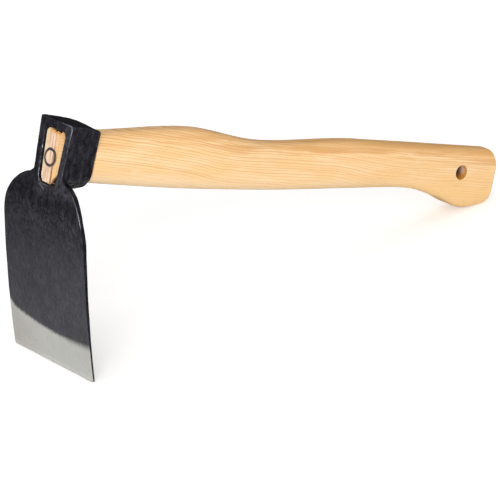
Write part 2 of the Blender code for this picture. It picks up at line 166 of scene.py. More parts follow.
def curve_through(*stations: tuple[float, float]) -> Callable[[float], float]:
    """Smooth line through stations, level at each hump and dip.

    Args:
        *stations: (place, height) pairs.

    Returns:
        The height as a function of the place, held constant beyond both ends.
    """
    places, heights = (list(column) for column in zip(*sorted(stations)))
    steps = [after - before for before, after in zip(places, places[1:])]
    slopes = [(heights[i + 1] - heights[i]) / step for i, step in enumerate(steps)]
    tangents = [slopes[0]]
    for before, after in zip(slopes, slopes[1:]):
        tangents.append(2 * before * after / (before + after) if before * after > 0 else 0.0)
    tangents.append(slopes[-1])

    def height(place: float) -> float:
        """Height of the line.

        Args:
            place: where along it.

        Returns:
            The height there.
        """
        index = max(i for i in range(len(steps)) if i == 0 or places[i] < place)
        share = limit((place - places[index]) / steps[index])
        rise = heights[index + 1] - heights[index]
        leave = tangents[index] * steps[index] * share * (1 - share) ** 2
        arrive = tangents[index + 1] * steps[index] * share * share * (1 - share)
        return heights[index] + rise * ease(share) + leave - arrive

    return height


def resample(line: Outline, count: int) -> Outline:
    """Spaces points evenly along a line.

    Args:
        line: the line's points.
        count: how many points to return.

    Returns:
        The new points, both ends included.
    """
    lengths = [0.0]
    for (x0, y0), (x1, y1) in zip(line, line[1:]):
        lengths.append(lengths[-1] + math.hypot(x1 - x0, y1 - y0))
    found, index = [], 0
    for step in range(count):
        target = lengths[-1] * step / (count - 1)
        while index < len(line) - 2 and lengths[index + 1] < target:
            index += 1
        span = lengths[index + 1] - lengths[index]
        share = (target - lengths[index]) / span if span > 0 else 0.0
        found.append(tuple(blend(a, b, share) for a, b in zip(line[index], line[index + 1])))
    return found


def rounded_outline(
    top: float,
    foot: float,
    half_top: float,
    half_foot: float,
    over: tuple[float, float],
    under: tuple[float, float],
) -> Outline:
    """Tapered outline with four elliptical corners.

    Args:
        top: height of the upper edge.
        foot: height of the lower edge.
        half_top: half width at the upper edge.
        half_foot: half width at the lower edge.
        over: (across, upright) radii of the upper corners.
        under: (across, upright) radii of the lower corners.

    Returns:
        Points as (y, z), anticlockwise from the right side.
    """
    sides = ((1, top - over[1], over), (-1, top - over[1], over))
    sides += ((-1, foot + under[1], under), (1, foot + under[1], under))
    arcs = []
    for corner, (side, centre, (across, upright)) in enumerate(sides):
        arc = []
        for step in range(CORNER_FACETS + 1):
            angle = math.pi / 2 * (corner + step / CORNER_FACETS)
            z = centre + upright * math.sin(angle)
            y = side * (half_top - across) + across * math.cos(angle)
            arc.append((y * blend(half_foot / half_top, 1.0, (z - foot) / (top - foot)), z))
        arcs.append(arc)
    points = []
    for arc, following in zip(arcs, arcs[1:] + arcs[:1]):
        points += arc
        (y0, z0), (y1, z1) = arc[-1], following[0]
        shares = spread(0.0, 1.0, SIDE_FACETS)[:-1]
        points += [(blend(y0, y1, share), blend(z0, z1, share)) for share in shares]
    return points


# Meshes


@dataclass(frozen=True)
class Stand:
    """Where the tool's frame lies in the row's frame: the tool stands on its cutting edge and its butt.

    Attributes:
        tilt: turn about Y, in radians.
        x: place of the eye along the row's X, in metres.
        z: height of the eye, in metres.
    """

    tilt: float = math.atan2(0.3281, 0.944643)
    x: float = -0.161021
    z: float = 0.127085

    def frame(self) -> Matrix:
        """The tool's frame in the row's, both in metres."""
        return Matrix.Translation((self.x, 0.0, self.z)) @ Matrix.Rotation(self.tilt, 4, "Y")

    def matrix(self) -> Matrix:
        """Transform from tool millimetres to row metres."""
        return self.frame() @ Matrix.Scale(0.001, 4)


STAND = Stand()


def ripple(point: Vector, size: float, seed: float = 0.0) -> float:
    """Smooth noise between about -1 and 1 whose bumps are about size across."""
    return noise.noise(point / size + Vector((seed, seed * 1.7, -seed)))


def skin(rings: Sequence[Sequence[Point]]) -> Mesh:
    """Closed skin over rings of points: a grid laid round them, welded along its seam and capped.

    Args:
        rings: rings with as many points each.

    Returns:
        The mesh, with its faces turned outwards.
    """
    count, length = len(rings[0]), len(rings)
    mesh = bmesh.new()
    bmesh.ops.create_grid(mesh, x_segments=count, y_segments=length - 1, size=1.0)
    for vert in mesh.verts:
        column = round((vert.co.x + 1) / 2 * count) % count
        vert.co = Vector(rings[round((vert.co.y + 1) / 2 * (length - 1))][column])
    bmesh.ops.remove_doubles(mesh, verts=mesh.verts, dist=1e-5)
    bmesh.ops.holes_fill(mesh, edges=[edge for edge in mesh.edges if edge.is_boundary], sides=0)
    bmesh.ops.recalc_face_normals(mesh, faces=mesh.faces)
    return mesh


def dome(ring: Sequence[Point], steps: int, rise: float = 0.0, least: float = 0.06) -> list[list[Point]]:
    """Rings that close an end, drawn in towards its middle.

    Args:
        ring: the rim of the end.
        steps: how many rings to add.
        rise: how far the middle stands above the rim.
        least: size of the innermost ring against the rim.

    Returns:
        Rings from next to the rim to the innermost.
    """
    middle = sum((Vector(point) for point in ring), Vector()) / len(ring)
    rings = []
    for scale in spread(1.0, least, steps):
        centre = middle + Vector((0.0, 0.0, rise * (1 - scale * scale)))
        rings.append([tuple(centre + (Vector(point) - middle) * scale) for point in ring])
    return rings


def roughen(mesh: Mesh, depth: Mark) -> None:
    """Moves every vertex along its normal.

    Args:
        mesh: the mesh.
        depth: how far to move a vertex outwards.
    """
    mesh.normal_update()
    for vert in mesh.verts:
        vert.co += vert.normal * depth(vert.co, vert.normal)


def mesh_object(name: str, mesh: Mesh, material: bpy.types.Material | None = None) -> bpy.types.Object:
    """Makes an object of a mesh.

    Args:
        name: the object's name.
        mesh: its mesh, used up.
        material: its finish.

    Returns:
        The object, linked to the scene.
    """
    data = bpy.data.meshes.new(name)
    mesh.to_mesh(data)
    mesh.free()
    if material:
        data.materials.append(material)
    obj = bpy.data.objects.new(name, data)
    bpy.context.scene.collection.objects.link(obj)
    return obj


def carve(mesh: Mesh, cutters: Sequence[Mesh]) -> Mesh:
    """Cuts closed shapes out of a mesh.

    Args:
        mesh: the mesh to cut, used up.
        cutters: the shapes, used up.

    Returns:
        What is left, without slivers or faces of more than four corners.
    """
    body, *tools = [mesh_object("carving", part) for part in (mesh, *cutters)]
    for tool in tools:
        boolean = body.modifiers.new("cut", "BOOLEAN")
        boolean.operation = "DIFFERENCE"
        boolean.solver = "EXACT"
        boolean.object = tool
    carved = bmesh.new()
    carved.from_mesh(body.evaluated_get(bpy.context.evaluated_depsgraph_get()).to_mesh())
    bmesh.ops.dissolve_degenerate(carved, dist=SLIVER, edges=carved.edges[:])
    bmesh.ops.triangulate(carved, faces=[face for face in carved.faces if len(face.verts) > 4])
    bmesh.ops.dissolve_degenerate(carved, dist=SLIVER, edges=carved.edges[:])
    for obj in (body, *tools):
        data = obj.data
        bpy.data.objects.remove(obj, do_unlink=True)
        bpy.data.meshes.remove(data)
    return carved


@dataclass
class Piece:
    """A finished visible piece, ready to join the frame.

    Attributes:
        name: the object's name.
        mesh: its mesh, in tool millimetres.
        material: its finish.
        slot: the record's material slot; not used.
        nodes: CAD nodes that it stands for.
        marks: its marks, by name.
    """

    name: str
    mesh: Mesh
    material: bpy.types.Material
    slot: Slot
    nodes: tuple[Node, ...]
    marks: dict[str, Mark] = field(default_factory=dict)

    def place(self, low: Vector, high: Vector) -> bpy.types.Object:
        """Puts the piece in the row's frame.

        Args:
            low: lower corner of the CAD part's box.
            high: upper corner of the CAD part's box.

        Returns:
            The placed object.
        """
        self.mesh.normal_update()
        for name, mark in self.marks.items():
            layer = self.mesh.verts.layers.float.new(name)
            for vert in self.mesh.verts:
                vert[layer] = mark(vert.co, vert.normal)
        self.mesh.transform(STAND.matrix())
        for vert in self.mesh.verts:
            vert.co = Vector(limit(*bounds) for bounds in zip(vert.co, low, high))
        obj = mesh_object(self.name, self.mesh, self.material)
        obj.data.shade_smooth()
        obj.data.set_sharp_from_angle(angle=CREASE)
        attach(obj, Body.ROOT.value)
        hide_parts(*(node.value for node in self.nodes))
        LOG.info("%s: %d faces", self.name, len(obj.data.polygons))
        return obj


# Forms


@dataclass(frozen=True)
class Eye:
    """The tapered eye, which the socket and the handle's tongue share. Sizes in millimetres."""

    height: float = 33.0
    top_width: float = 21.0
    foot_width: float = 17.2
    top_corner: float = 3.2
    foot_corner: float = 5.0
    side_taper: float = 2.1
    roof_fall: float = 1.5
    floor_rise: float = 3.0
    depth: float = 24.0

    @property
    def top(self) -> float:
        """Height of the eye's roof in the front face."""
        return self.height / 2

    @property
    def foot(self) -> float:
        """Height of the eye's floor in the front face."""
        return -self.height / 2

    def half_width(self, z: float) -> float:
        """Half the eye's width in the front face at a height."""
        return blend(self.foot_width, self.top_width, (z - self.foot) / self.height) / 2

    def ring(self, x: float, inset: float = 0.0) -> list[Point]:
        """Outline of the eye at a depth.

        Args:
            x: depth behind the front face.
            inset: how far the outline is drawn in all round; less than 0 widens it.

        Returns:
            The ring's points.
        """
        share = x / self.depth
        narrowing = self.side_taper * share + inset
        outline = rounded_outline(
            self.top - self.roof_fall * share - inset,
            self.foot + self.floor_rise * share + inset,
            self.top_width / 2 - narrowing,
            self.foot_width / 2 - narrowing,
            (self.top_corner - inset,) * 2,
            (self.foot_corner - inset,) * 2,
        )
        return [(x, y, z) for y, z in outline]


@dataclass(frozen=True)
class GroundBand:
    """The bare band along the cutting edge: a parabola across the blade that climbs at the far corner."""

    middle: float = 19.7
    slope: float = 0.058
    bow: float = 0.0018
    climb: float = 2.6
    climb_start: float = 35.0
    climb_end: float = 41.0

    def height(self, y: float) -> float:
        """Height of the band's upper limit over the cutting edge."""
        climb = self.climb * fade(y, self.climb_start, self.climb_end)
        return self.middle + self.slope * y + self.bow * y * y + climb


@dataclass
class HeadForm:
    """Forged head: socket, neck, round shoulders and thin blade. Sizes in millimetres."""

    eye: Eye = Eye()
    band: GroundBand = GroundBand()
    side_wall: float = 5.2
    roof_wall: float = 5.6
    side_taper: float = 3.2
    roof_fall: float = 2.8
    roof_slope: float = 0.89
    roof_twist: float = 0.0175
    roof_crown: float = 0.5
    edge_radius: float = 1.2
    rim_radius: float = 0.9
    wear_and_highlight_corner: float = 2.6
    wear_and_highlight_width: float = 0.75
    mouth_reach: float = 4.0
    rear_mouth: float = 0.8
    chin_wall: float = 5.0
    chin_rise: float = 1.6
    chin_rounding: float = 11.0
    chin_fillet: float = 5.5
    chin_foot_width: float = 10.0
    neck: float = -11.2
    blade_top: float = -12.0
    shoulder_wear_and_highlight: float = -27.0
    neck_fillet: float = 2.5
    shoulder_run: float = 30.8
    shoulder_height: float = 34.2
    blade_width: float = 81.9
    blade_corner: float = 1.3
    edge_narrowing: float = 0.6
    cutting_edge: float = -124.0
    bend_drop: float = 19.3
    bend_length: float = 17.2
    lean_below_bend: float = math.radians(14.3)
    lean_at_edge: float = math.radians(19.6)
    root_thickness: float = 4.4
    blade_thickness: float = 2.6
    ground_start: float = 1.8
    edge_thickness: float = 1.6
    thinning_drop: float = 8.0
    thinning_length: float = 32.0
    plate_radius: float = 0.32
    rib_height: float = 0.4
    rib_spread: float = 22.0
    rib_length: float = 60.0
    fine_sections: float = 25.0
    front_facets: int = 39
    side_points: int = 56
    back_facets: int = 12
    corner_facets: int = 7

    @property
    def top(self) -> float:
        """Height of the socket's roof at the front."""
        return self.eye.top + self.roof_wall

    @property
    def chin(self) -> float:
        """Height of the socket's underside at its middle."""
        return self.eye.foot + self.eye.floor_rise - self.chin_wall

    @property
    def shoulder_foot(self) -> float:
        """Height where the round shoulders end."""
        return self.neck - self.shoulder_height

    def roof_inset(self, z: float) -> float:
        """How far the roof's rounded edge draws in at a height."""
        return drop_of_arc(z - (self.top - self.edge_radius), self.edge_radius)

    def front_line(self, z: float) -> float:
        """Depth of the front face: upright, then bent back, then curved a little more.

        Args:
            z: the height.

        Returns:
            How far it lies behind the socket's front.
        """
        lean = math.tan(self.lean_below_bend)
        below = -self.bend_drop - z
        if below <= 0:
            return 0.0
        if below < self.bend_length:
            share = below / self.bend_length
            return lean * self.bend_length * (share**3 - share**4 / 2)
        run = below - self.bend_length
        whole = -self.cutting_edge - self.bend_drop - self.bend_length
        bow = (math.tan(self.lean_at_edge) - lean) * run * run / (2 * whole)
        return lean * self.bend_length / 2 + lean * run + bow

    def plate_thickness(self, z: float) -> float:
        """Thickness of the blade before its edge is ground.

        Args:
            z: the height.

        Returns:
            The thickness.
        """
        thinned = ease((-self.thinning_drop - z) / self.thinning_length)
        thickness = blend(self.root_thickness, self.blade_thickness, thinned)
        start = -self.thinning_drop - self.thinning_length
        whole = start - self.cutting_edge - self.band.middle
        return thickness - (self.blade_thickness - self.ground_start) * limit((start - z) / whole)

    def ground_away(self, y: float, z: float) -> float:
        """What grinding took off the front, at a place on the blade."""
        share = 1 - (z - self.cutting_edge) / self.band.height(y)
        return max(share, 0.0) * (self.ground_start - self.edge_thickness)

    def socket_half(self, z: float) -> float:
        """Half the socket's width in its front face."""
        return self.eye.half_width(z) + self.side_wall

    def chin_share(self, z: float) -> float:
        """Share of the socket's width left as its foot rounds in to the chin."""
        return 1 - drop_of_arc((self.chin + self.chin_rounding - z) / self.chin_rounding, 1.0)

    def plate_half(self, z: float) -> float:
        """Half the width of the front face: socket, neck fillet, round shoulder and blade.

        Args:
            z: the height.

        Returns:
            Half the width.
        """
        foot = self.shoulder_foot
        if z > self.neck:
            fillet = drop_of_arc(self.neck + self.neck_fillet - z, self.neck_fillet)
            return self.socket_half(z) - self.roof_inset(z) + fillet
        if z > foot:
            shoulder = self.shoulder_run * drop_of_arc((z - foot) / self.shoulder_height, 1.0)
            return max(self.blade_width / 2 - shoulder, self.socket_half(self.neck) + self.neck_fillet)
        narrowing = self.edge_narrowing / 2 * ((foot - z) / (foot - self.cutting_edge)) ** 4
        corner = drop_of_arc(self.cutting_edge + self.blade_corner - z, self.blade_corner)
        return self.blade_width / 2 - narrowing - corner

    def half_section(self, z: float) -> Outline:
        """One side of the level section at a height, from the middle of the front to that of the back.

        Args:
            z: the height.

        Returns:
            Points as (x, y).
        """
        inset = self.roof_inset(z)
        front = self.front_line(z) + inset
        plate_back = self.front_line(z) + self.plate_thickness(z)
        half = self.plate_half(z)
        draft = self.side_taper / self.eye.depth
        below_chin = self.chin - z
        if below_chin < 0:
            rear = self.eye.depth - inset - drop_of_arc(self.edge_radius + below_chin, self.edge_radius)
            front_half = (self.socket_half(z) - inset) * self.chin_share(z)
            draft *= self.chin_share(z)
            softness = 0.0
        else:
            rib = self.rib_height * (z - self.cutting_edge) / (self.chin - self.cutting_edge)
            rear = plate_back + drop_of_arc(self.chin_fillet - below_chin, self.chin_fillet) + rib + 0.02
            softness = ease(below_chin / self.rib_length)
            front_half = self.chin_foot_width / 2 + self.rib_spread * softness

        def side(x: float) -> float:
            """Half the width of socket or rib at a depth."""
            return max(front_half - draft * (x - front), front_half / 2)

        reach = max(half - front_half, 0.0)
        rounding = min(self.plate_radius, (plate_back - front) * 0.42)
        back_rounding = min(rounding, reach / 2)
        across = min(blend(self.neck_fillet, self.rib_spread / 2, softness), reach / 2)
        deep = min(self.neck_fillet, (rear - plate_back) * 0.4)
        corner = min(self.edge_radius, (rear - plate_back) * 0.4)
        corner_across = min(blend(self.edge_radius, self.rib_spread, softness), side(rear) * 0.75)

        turn = quarter_round(self.corner_facets)
        points = [(front, 0.0)] + [(front, y) for y in spread(0.0, half - rounding - 0.35, self.front_facets)]
        points += [(front + rounding * along, half - rounding * left) for along, left in turn]
        run = [(front + rounding, half)]
        for along, left in quarter_round(4):
            x = plate_back - rounding * left
            run.append((x, side(x) + reach - back_rounding * along))
        for along, left in quarter_round(8):
            x = plate_back + deep * blend(0.08, 1.0, along)
            run.append((x, side(x) + across * left))
        run.append((rear - corner, side(rear - corner)))
        points += resample(run, self.side_points)[1:-1]
        for along, left in turn:
            x = rear - corner * left
            points.append((x, side(x) - corner_across * along))
        return points + [(rear, y) for y in spread(side(rear) - corner_across, 0.0, self.back_facets)]

    def ring(self, z: float) -> list[Point]:
        """Whole level section at a height, ground on its front, with the roof's fall and the chin's rise.

        Args:
            z: the height.

        Returns:
            The closed ring.
        """
        half = self.half_section(z)
        fall = self.roof_fall / self.eye.depth**2 * max(z / self.top, 0.0)
        rise = self.chin_rise / self.eye.depth**6 * fade(z, -8.0, -16.0) * fade(z, -34.0, -22.0)
        front, thickness = self.front_line(z), self.plate_thickness(z)
        ring = []
        for x, y in [(x, -y) for x, y in half] + half[-2:0:-1]:
            ground = self.ground_away(y, z) * max(1 - (x - front) / thickness, 0.0)
            slope = self.roof_slope - self.roof_twist * y
            ring.append((x + ground, y, z + rise * x**6 - fall * slope * x * x))
        return ring

    def heights(self) -> list[float]:
        """Heights of the sections, closest where the outline turns fastest.

        Returns:
            The heights, from the roof down.
        """
        foot, fine = self.shoulder_foot, self.cutting_edge + self.fine_sections
        turn = quarter_round(self.corner_facets)
        found = [self.top - self.edge_radius * left for _, left in turn]
        found += spread(self.top - self.edge_radius, self.neck + self.neck_fillet, 34)
        found += [self.neck + self.neck_fillet * left for _, left in quarter_round(8)]
        found += [foot + self.shoulder_height * (1 - along) for along, _ in quarter_round(46)]
        found += [self.chin + self.chin_rounding * left for _, left in quarter_round(16)[:-1]]
        found += [self.chin - self.chin_fillet * along for along, _ in quarter_round(8)]
        found += spread(foot, fine, 40)
        found += spread(fine, self.cutting_edge + self.blade_corner, 28)
        found += [self.cutting_edge + self.blade_corner * left for _, left in turn]
        kept: list[float] = []
        for z in sorted(found, reverse=True):
            if not kept or kept[-1] - z > 0.12:
                kept.append(z)
        kept[-1] = self.cutting_edge
        return kept

    def hammered(self, point: Vector, normal: Vector) -> float:
        """Forging marks: dents on the socket, slow waves on the blade.

        Args:
            point: the place.
            normal: the normal there.

        Returns:
            How far the surface stands out.
        """
        plate = fade(point.z, self.blade_top, self.blade_top - 20.0)
        away = fade(point.z, self.cutting_edge + 12.0, self.cutting_edge + 27.0)
        front = max(-normal.x, 0.0) * (1 - plate)
        dents = ripple(point, 6.0, 3.1) * 0.24 + ripple(point, 2.4, 8.4) * 0.09
        waves = ripple(point, 17.0, 1.3) * 0.20 + ripple(point, 7.0, 5.2) * 0.06
        return blend(dents * (1 - 0.6 * front), waves * away, plate) - 0.16 * (1 - plate)

    def eye_cutter(self) -> Mesh:
        """Cutter for the eye, whose mouths open out in a small round.

        Returns:
            The cutter.
        """
        wide = self.rim_radius
        stations = [(-self.mouth_reach, wide), (-0.6, wide)]
        stations += [(wide * along - 0.1, wide * left) for along, left in quarter_round(self.corner_facets)]
        stations += [(x, 0.0) for x in spread(wide, self.eye.depth - 1.0, 10)]
        stations += [(self.eye.depth + past, self.rear_mouth) for past in (0.2, self.mouth_reach)]
        return skin([self.eye.ring(x, -grow) for x, grow in stations])

    def worn(self, point: Vector, normal: Vector) -> float:
        """Mark of wear and painted highlight on the outer edge of the front and at the eye's mouth.

        Args:
            point: the place.
            normal: not used.

        Returns:
            1 on the edge itself, 0 a millimetre away.
        """
        depth = max(point.x - self.front_line(point.z) - 0.1, 0.0)
        in_side = self.plate_half(point.z) + self.roof_inset(point.z) - abs(point.y)
        in_roof = self.top - point.z
        turn = self.wear_and_highlight_corner
        if in_side < turn and in_roof < turn:
            inside = abs(math.hypot(turn - in_side, turn - in_roof) - turn + 0.5)
        else:
            inside = abs(min(in_side - 0.15, max(in_roof - 0.5, 0.0)))
        mark = max(1 - math.hypot(inside, depth) / self.wear_and_highlight_width, 0.0)
        # The mark is full on the near side and weaker on the far side: painted highlight where the edges face
        # the light, over real wear.
        if in_roof < turn:
            return mark * blend(0.3, 1.0, fade(point.y, 2.0, -12.0))
        return max(mark * self.wear_and_highlight_along(point.z) * (1.0 if point.y < 0 else 0.3), self.rim(point))

    def wear_and_highlight_along(self, z: float) -> float:
        """Wear and painted highlight along the near edge: strongest on the roof's corner and on the shoulder.

        Args:
            z: the height.

        Returns:
            The share of wear and highlight.
        """
        if z < self.shoulder_wear_and_highlight:
            return blend(1.0, 0.27, fade(z, self.shoulder_wear_and_highlight, self.shoulder_wear_and_highlight - 9.0))
        below, above = fade(z, self.blade_top, self.blade_top - 10.0), fade(z, 9.0, 18.0)
        return blend(0.50, 1.0, max(below, above))

    def rim(self, point: Vector) -> float:
        """Wear and painted glints on the eye's mouth, bright in places on the far side and at the far foot.

        Args:
            point: the place.

        Returns:
            The share of wear and glint.
        """
        if point.x > 0.7 or point.y < -2.0 or point.z > 12.0:
            return 0.0
        radius = self.eye.foot_corner
        over = min(point.z - self.eye.foot - radius, 0.0)
        beyond = max(point.y - self.eye.half_width(point.z) + radius, 0.0)
        away = abs(math.hypot(over, beyond) - radius - 0.3)
        patchy = ripple(Vector((0.0, 0.0, point.z)), 2.0, 6.2) * 0.6
        return max(1 - away / 0.8, 0.0) * max(0.42 + 0.3 * fade(point.z, -4.0, -10.0) + patchy, 0.0)

    def inner(self, point: Vector, normal: Vector) -> float:
        """Mark of the walls of the eye: 1 there, 0 elsewhere."""
        level = self.eye.foot - 0.5 < point.z < self.eye.top + 0.5 and point.x > 0.9
        return float(level and abs(point.y) < self.eye.half_width(point.z) + 0.2)

    def rubbed(self, point: Vector, normal: Vector) -> float:
        """Mark of painted sheen: lighter lacquer on the socket's near front wall and below the eye, where it
        catches more reflection.

        Args:
            point: the place.
            normal: the normal there.

        Returns:
            How much sheen is painted, from 0 to 1.
        """
        wall = fade(point.y, -7.0, -10.0) * fade(point.z, -24.0, -18.0)
        foot = fade(point.z, -14.0, -18.0) * fade(point.z, -27.0, -21.0) * fade(abs(point.y), 13.0, 8.0)
        return 0.0 if normal.x > -0.6 else max(wall * 0.8, foot * 0.6)

    def front(self, point: Vector, normal: Vector) -> float:
        """Mark of the blade's front face and the underside of its edge: 1 there, 0 elsewhere."""
        return float(normal.x < -0.45 or normal.z < -0.6)

    def narrow(self, point: Vector, normal: Vector) -> float:
        """Mark of the blade's narrow sides: 1 there, 0 elsewhere."""
        return float(point.z < self.blade_top and abs(normal.y) > 0.6 and abs(normal.x) < 0.8)

    def build(self, material: bpy.types.Material) -> Piece:
        """Models the head.

        Args:
            material: lacquered steel.

        Returns:
            The head.
        """
        rings = [self.ring(z) for z in self.heights()]
        mesh = skin(dome(rings[0], 14, self.roof_crown)[::-1] + rings)
        roughen(mesh, self.hammered)
        carved = carve(mesh, [self.eye_cutter()])
        marks = {"worn": self.worn, "front": self.front, "rubbed": self.rubbed}
        marks |= {"inner": self.inner, "narrow": self.narrow}
        return Piece("forged_head_look", carved, material, Slot.LACQUER, (Node.HEAD,), marks)


@dataclass
class HandleForm:
    """Ash handle: tongue, collar, hump, waist, palm swell and dropped butt. Sizes in millimetres."""

    eye: Eye = Eye()
    length: float = 349.1
    recess: float = 1.5
    tongue_gap: float = 0.3
    tongue_chamfer: float = 0.7
    collar_gap: float = 0.3
    collar_radius: float = 1.2
    hang_diameter: float = 9.6
    hang_from_butt: float = 31.3
    hang_height: float = 6.0
    hang_rounding: float = 0.2
    butt_edge: float = 2.2
    top_radius: float = 5.0
    foot_radius: float = 6.2
    reach: float = 335.34
    reach_softness: float = 1.8
    cheek_length: float = 58.0
    cheek_width: float = 22.0
    grip_roundness: float = 0.78
    cheek_roundness: float = 0.42
    top_roundness: float = 0.80
    split_at: float = -1.2
    split_top: float = -4.6
    split_depth: float = 5.0
    foot_cut_start: tuple[float, float] = (-8.2, -6.6)
    foot_cut_end: tuple[float, float] = (-0.9, -16.4)
    foot_block: Point = (12.0, 20.0, 10.0)
    step_depth: float = 0.5
    step_reach: float = 20.0
    split_mouth: float = 0.42
    split_tip: float = 0.08
    notch_at: Point = (-0.4, 0.2, 17.0)
    notch_size: Point = (5.0, 5.0, 2.8)
    burr_at: tuple[float, float] = (4.5, -15.8)
    burr_size: tuple[float, float] = (5.0, 1.6)
    burr_height: float = 0.8
    hang_facets: int = 72
    body_sections: int = 230
    splinter_shape: Point = (1.6, 0.45, 0.8)
    splinter_lean: float = 0.5
    splinters: tuple[tuple[float, ...], ...] = (
        (1.7, 15.1, 1.3, 0.5),
        (-2.4, 15.3, 1.0, -0.7),
        (3.6, 15.3, 0.9, 1.1),
        (-0.6, 14.5, 0.9, 0.2),
    )

    def __post_init__(self) -> None:
        """Draws the three lines that the sections follow: hump, waist, palm swell and butt."""
        start, end = self.collar, self.butt
        swell, cheek, half = end - 116.0, end - self.cheek_length, self.cheek_width / 2
        waist = start + 131.0
        top = ((start, 16.4), (start + 17.0, 18.0), (start + 73.5, 22.4), (waist, 16.8), (swell, 21.2))
        foot = ((start, -13.7), (start + 66.0, -14.4), (waist, -13.2), (swell, -9.0), (end - 75.0, -6.7))
        side = ((start, 11.2), (start + 66.0, 12.3), (waist, 11.6), (swell, 12.4))
        self.top_line = curve_through(*top, (end, 21.2))
        self.foot_line = curve_through(*foot, (end - 43.7, -12.1), (end - 23.3, -17.7), (end, -13.8))
        self.half_line = curve_through(*side, (cheek, half), (end, half))

    @property
    def collar(self) -> float:
        """Place where the body starts behind the socket."""
        return self.eye.depth + self.collar_gap

    @property
    def butt(self) -> float:
        """Place of the butt's end face."""
        return self.recess + self.length

    def body_ring(self, x: float) -> list[Point]:
        """Section of the body: oval in the grip, flat on the cheeks, rounded off at collar and butt.

        Args:
            x: the place along the handle.

        Returns:
            The ring's points.
        """
        from_butt = self.butt - x
        inset = drop_of_arc(self.collar_radius - (x - self.collar), self.collar_radius)
        inset += drop_of_arc(self.butt_edge - from_butt, self.butt_edge)
        top = self.top_line(x) - inset - drop_of_arc(self.top_radius - from_butt, self.top_radius)
        plumb = (self.reach - x * math.cos(STAND.tilt)) / math.sin(STAND.tilt)
        top = soft_min(top, plumb, self.reach_softness)
        foot = self.foot_line(x) + inset + drop_of_arc(self.foot_radius - from_butt, self.foot_radius)
        half = self.half_line(x) - inset
        grip = ease((from_butt - self.cheek_length) / self.cheek_length)
        roundness = blend(self.cheek_roundness, self.grip_roundness, grip)
        upright = (top - foot) / 2 * roundness
        over, under = (half * max(roundness, self.top_roundness), upright), (half * roundness, upright)
        return [(x, y, z) for y, z in rounded_outline(top, foot, half, half, over, under)]

    def places(self) -> list[float]:
        """Where the body's sections are.

        Returns:
            The places, from collar to butt.
        """
        found = [self.collar + self.collar_radius * along for along, _ in quarter_round(6)]
        found += spread(found[-1], self.butt - self.top_radius, self.body_sections)
        found += [self.butt - self.top_radius * left for _, left in quarter_round(18)[1:-1]]
        found += [self.butt - self.butt_edge * left for _, left in quarter_round(6)]
        return sorted(found)

    def split_line(self, z: float) -> float:
        """Where the split runs across the end grain at a height."""
        return self.split_at + 0.06 * (z + 10.0) + 0.4 * noise.noise(Vector((z / 4.0, 2.0, 7.0)))

    def sawn(self, point: Vector, normal: Vector) -> float:
        """Relief of the end grain: fibres that stand up and a burr on the far foot.

        Args:
            point: the place.
            normal: the normal there.

        Returns:
            How far the surface stands out.
        """
        if point.x > self.recess + 0.05 or normal.x > -0.5:
            return 0.0
        fibre = ripple(Vector((point.y * 3.0, point.z * 0.5, 4.0)), 1.6) * 0.10
        off = [(at - middle) / size for at, middle, size in zip(point.yz, self.burr_at, self.burr_size)]
        burr = self.burr_height * max(1 - math.hypot(*off), 0.0)
        return fibre + ripple(point, 3.0, 2.2) * 0.10 + burr

    def hang_cutter(self) -> Mesh:
        """Cutter for the hang hole, opened out at both faces.

        Returns:
            The cutter.
        """
        cheek, mouth = self.cheek_width / 2, self.hang_rounding
        profile = [(-cheek - 4.0, mouth), (-cheek, mouth)]
        profile += [(-cheek + mouth * along, mouth * left) for along, left in quarter_round(5)[1:]]
        profile += [(-y, grow) for y, grow in profile[::-1]]
        x, z = self.butt - self.hang_from_butt, self.hang_height
        rings = []
        for y, grow in profile:
            radius = self.hang_diameter / 2 + grow
            turns = (math.tau * step / self.hang_facets for step in range(self.hang_facets))
            rings.append([(x + radius * math.cos(turn), y, z + radius * math.sin(turn)) for turn in turns])
        return skin(rings)

    def jagged_cutter(self, top: float, steps: int, corner: Callable[[bool, bool, float], Point]) -> Mesh:
        """Cutter that follows the split up the end grain: a strip of faces and its copy, joined all round.

        Args:
            top: how high it reaches.
            steps: facets along the split.
            corner: place of a vertex, given its side of the strip, whether it is on the copy, and its height.

        Returns:
            The cutter.
        """
        mesh = bmesh.new()
        bmesh.ops.create_grid(mesh, x_segments=1, y_segments=steps, size=1.0)
        made = bmesh.ops.extrude_face_region(mesh, geom=mesh.faces[:])["geom"]
        copied = {item for item in made if isinstance(item, bmesh.types.BMVert)}
        for vert in mesh.verts:
            z = blend(-self.step_reach, top, (vert.co.y + 1) / 2)
            vert.co = Vector(corner(vert.co.x > 0, vert in copied, z))
        bmesh.ops.recalc_face_normals(mesh, faces=mesh.faces)
        return mesh

    def split_corner(self, deep: bool, far: bool, z: float) -> Point:
        """Vertex of the thin wedge that opens the tongue below the ring.

        Args:
            deep: whether it lies at the split's inner end.
            far: whether it lies on the split's far side.
            z: its height.

        Returns:
            Its place.
        """
        width = self.split_tip if deep else self.split_mouth
        place = self.recess + (self.split_depth if deep else -2.0)
        return (place, self.split_line(z) + (width if far else -width), z)

    def step_corner(self, inner: bool, deep: bool, z: float) -> Point:
        """Vertex of the block that lowers the near third of the end grain."""
        place = self.recess + (self.step_depth if deep else -3.0)
        return (place, self.split_line(z) if inner else -14.0, z)

    def notch_cutter(self) -> Mesh:
        """Ragged lump that chips the top of the end grain.

        Returns:
            The cutter.
        """
        mesh = bmesh.new()
        x, y, z = self.notch_at
        place = Matrix.Translation((self.recess + x, y, z)) @ Matrix.Diagonal((*self.notch_size, 1.0))
        bmesh.ops.create_icosphere(mesh, subdivisions=4, radius=1.0, matrix=place)
        roughen(mesh, lambda point, normal: ripple(point, 1.5, 5.5) * 0.7)
        return mesh

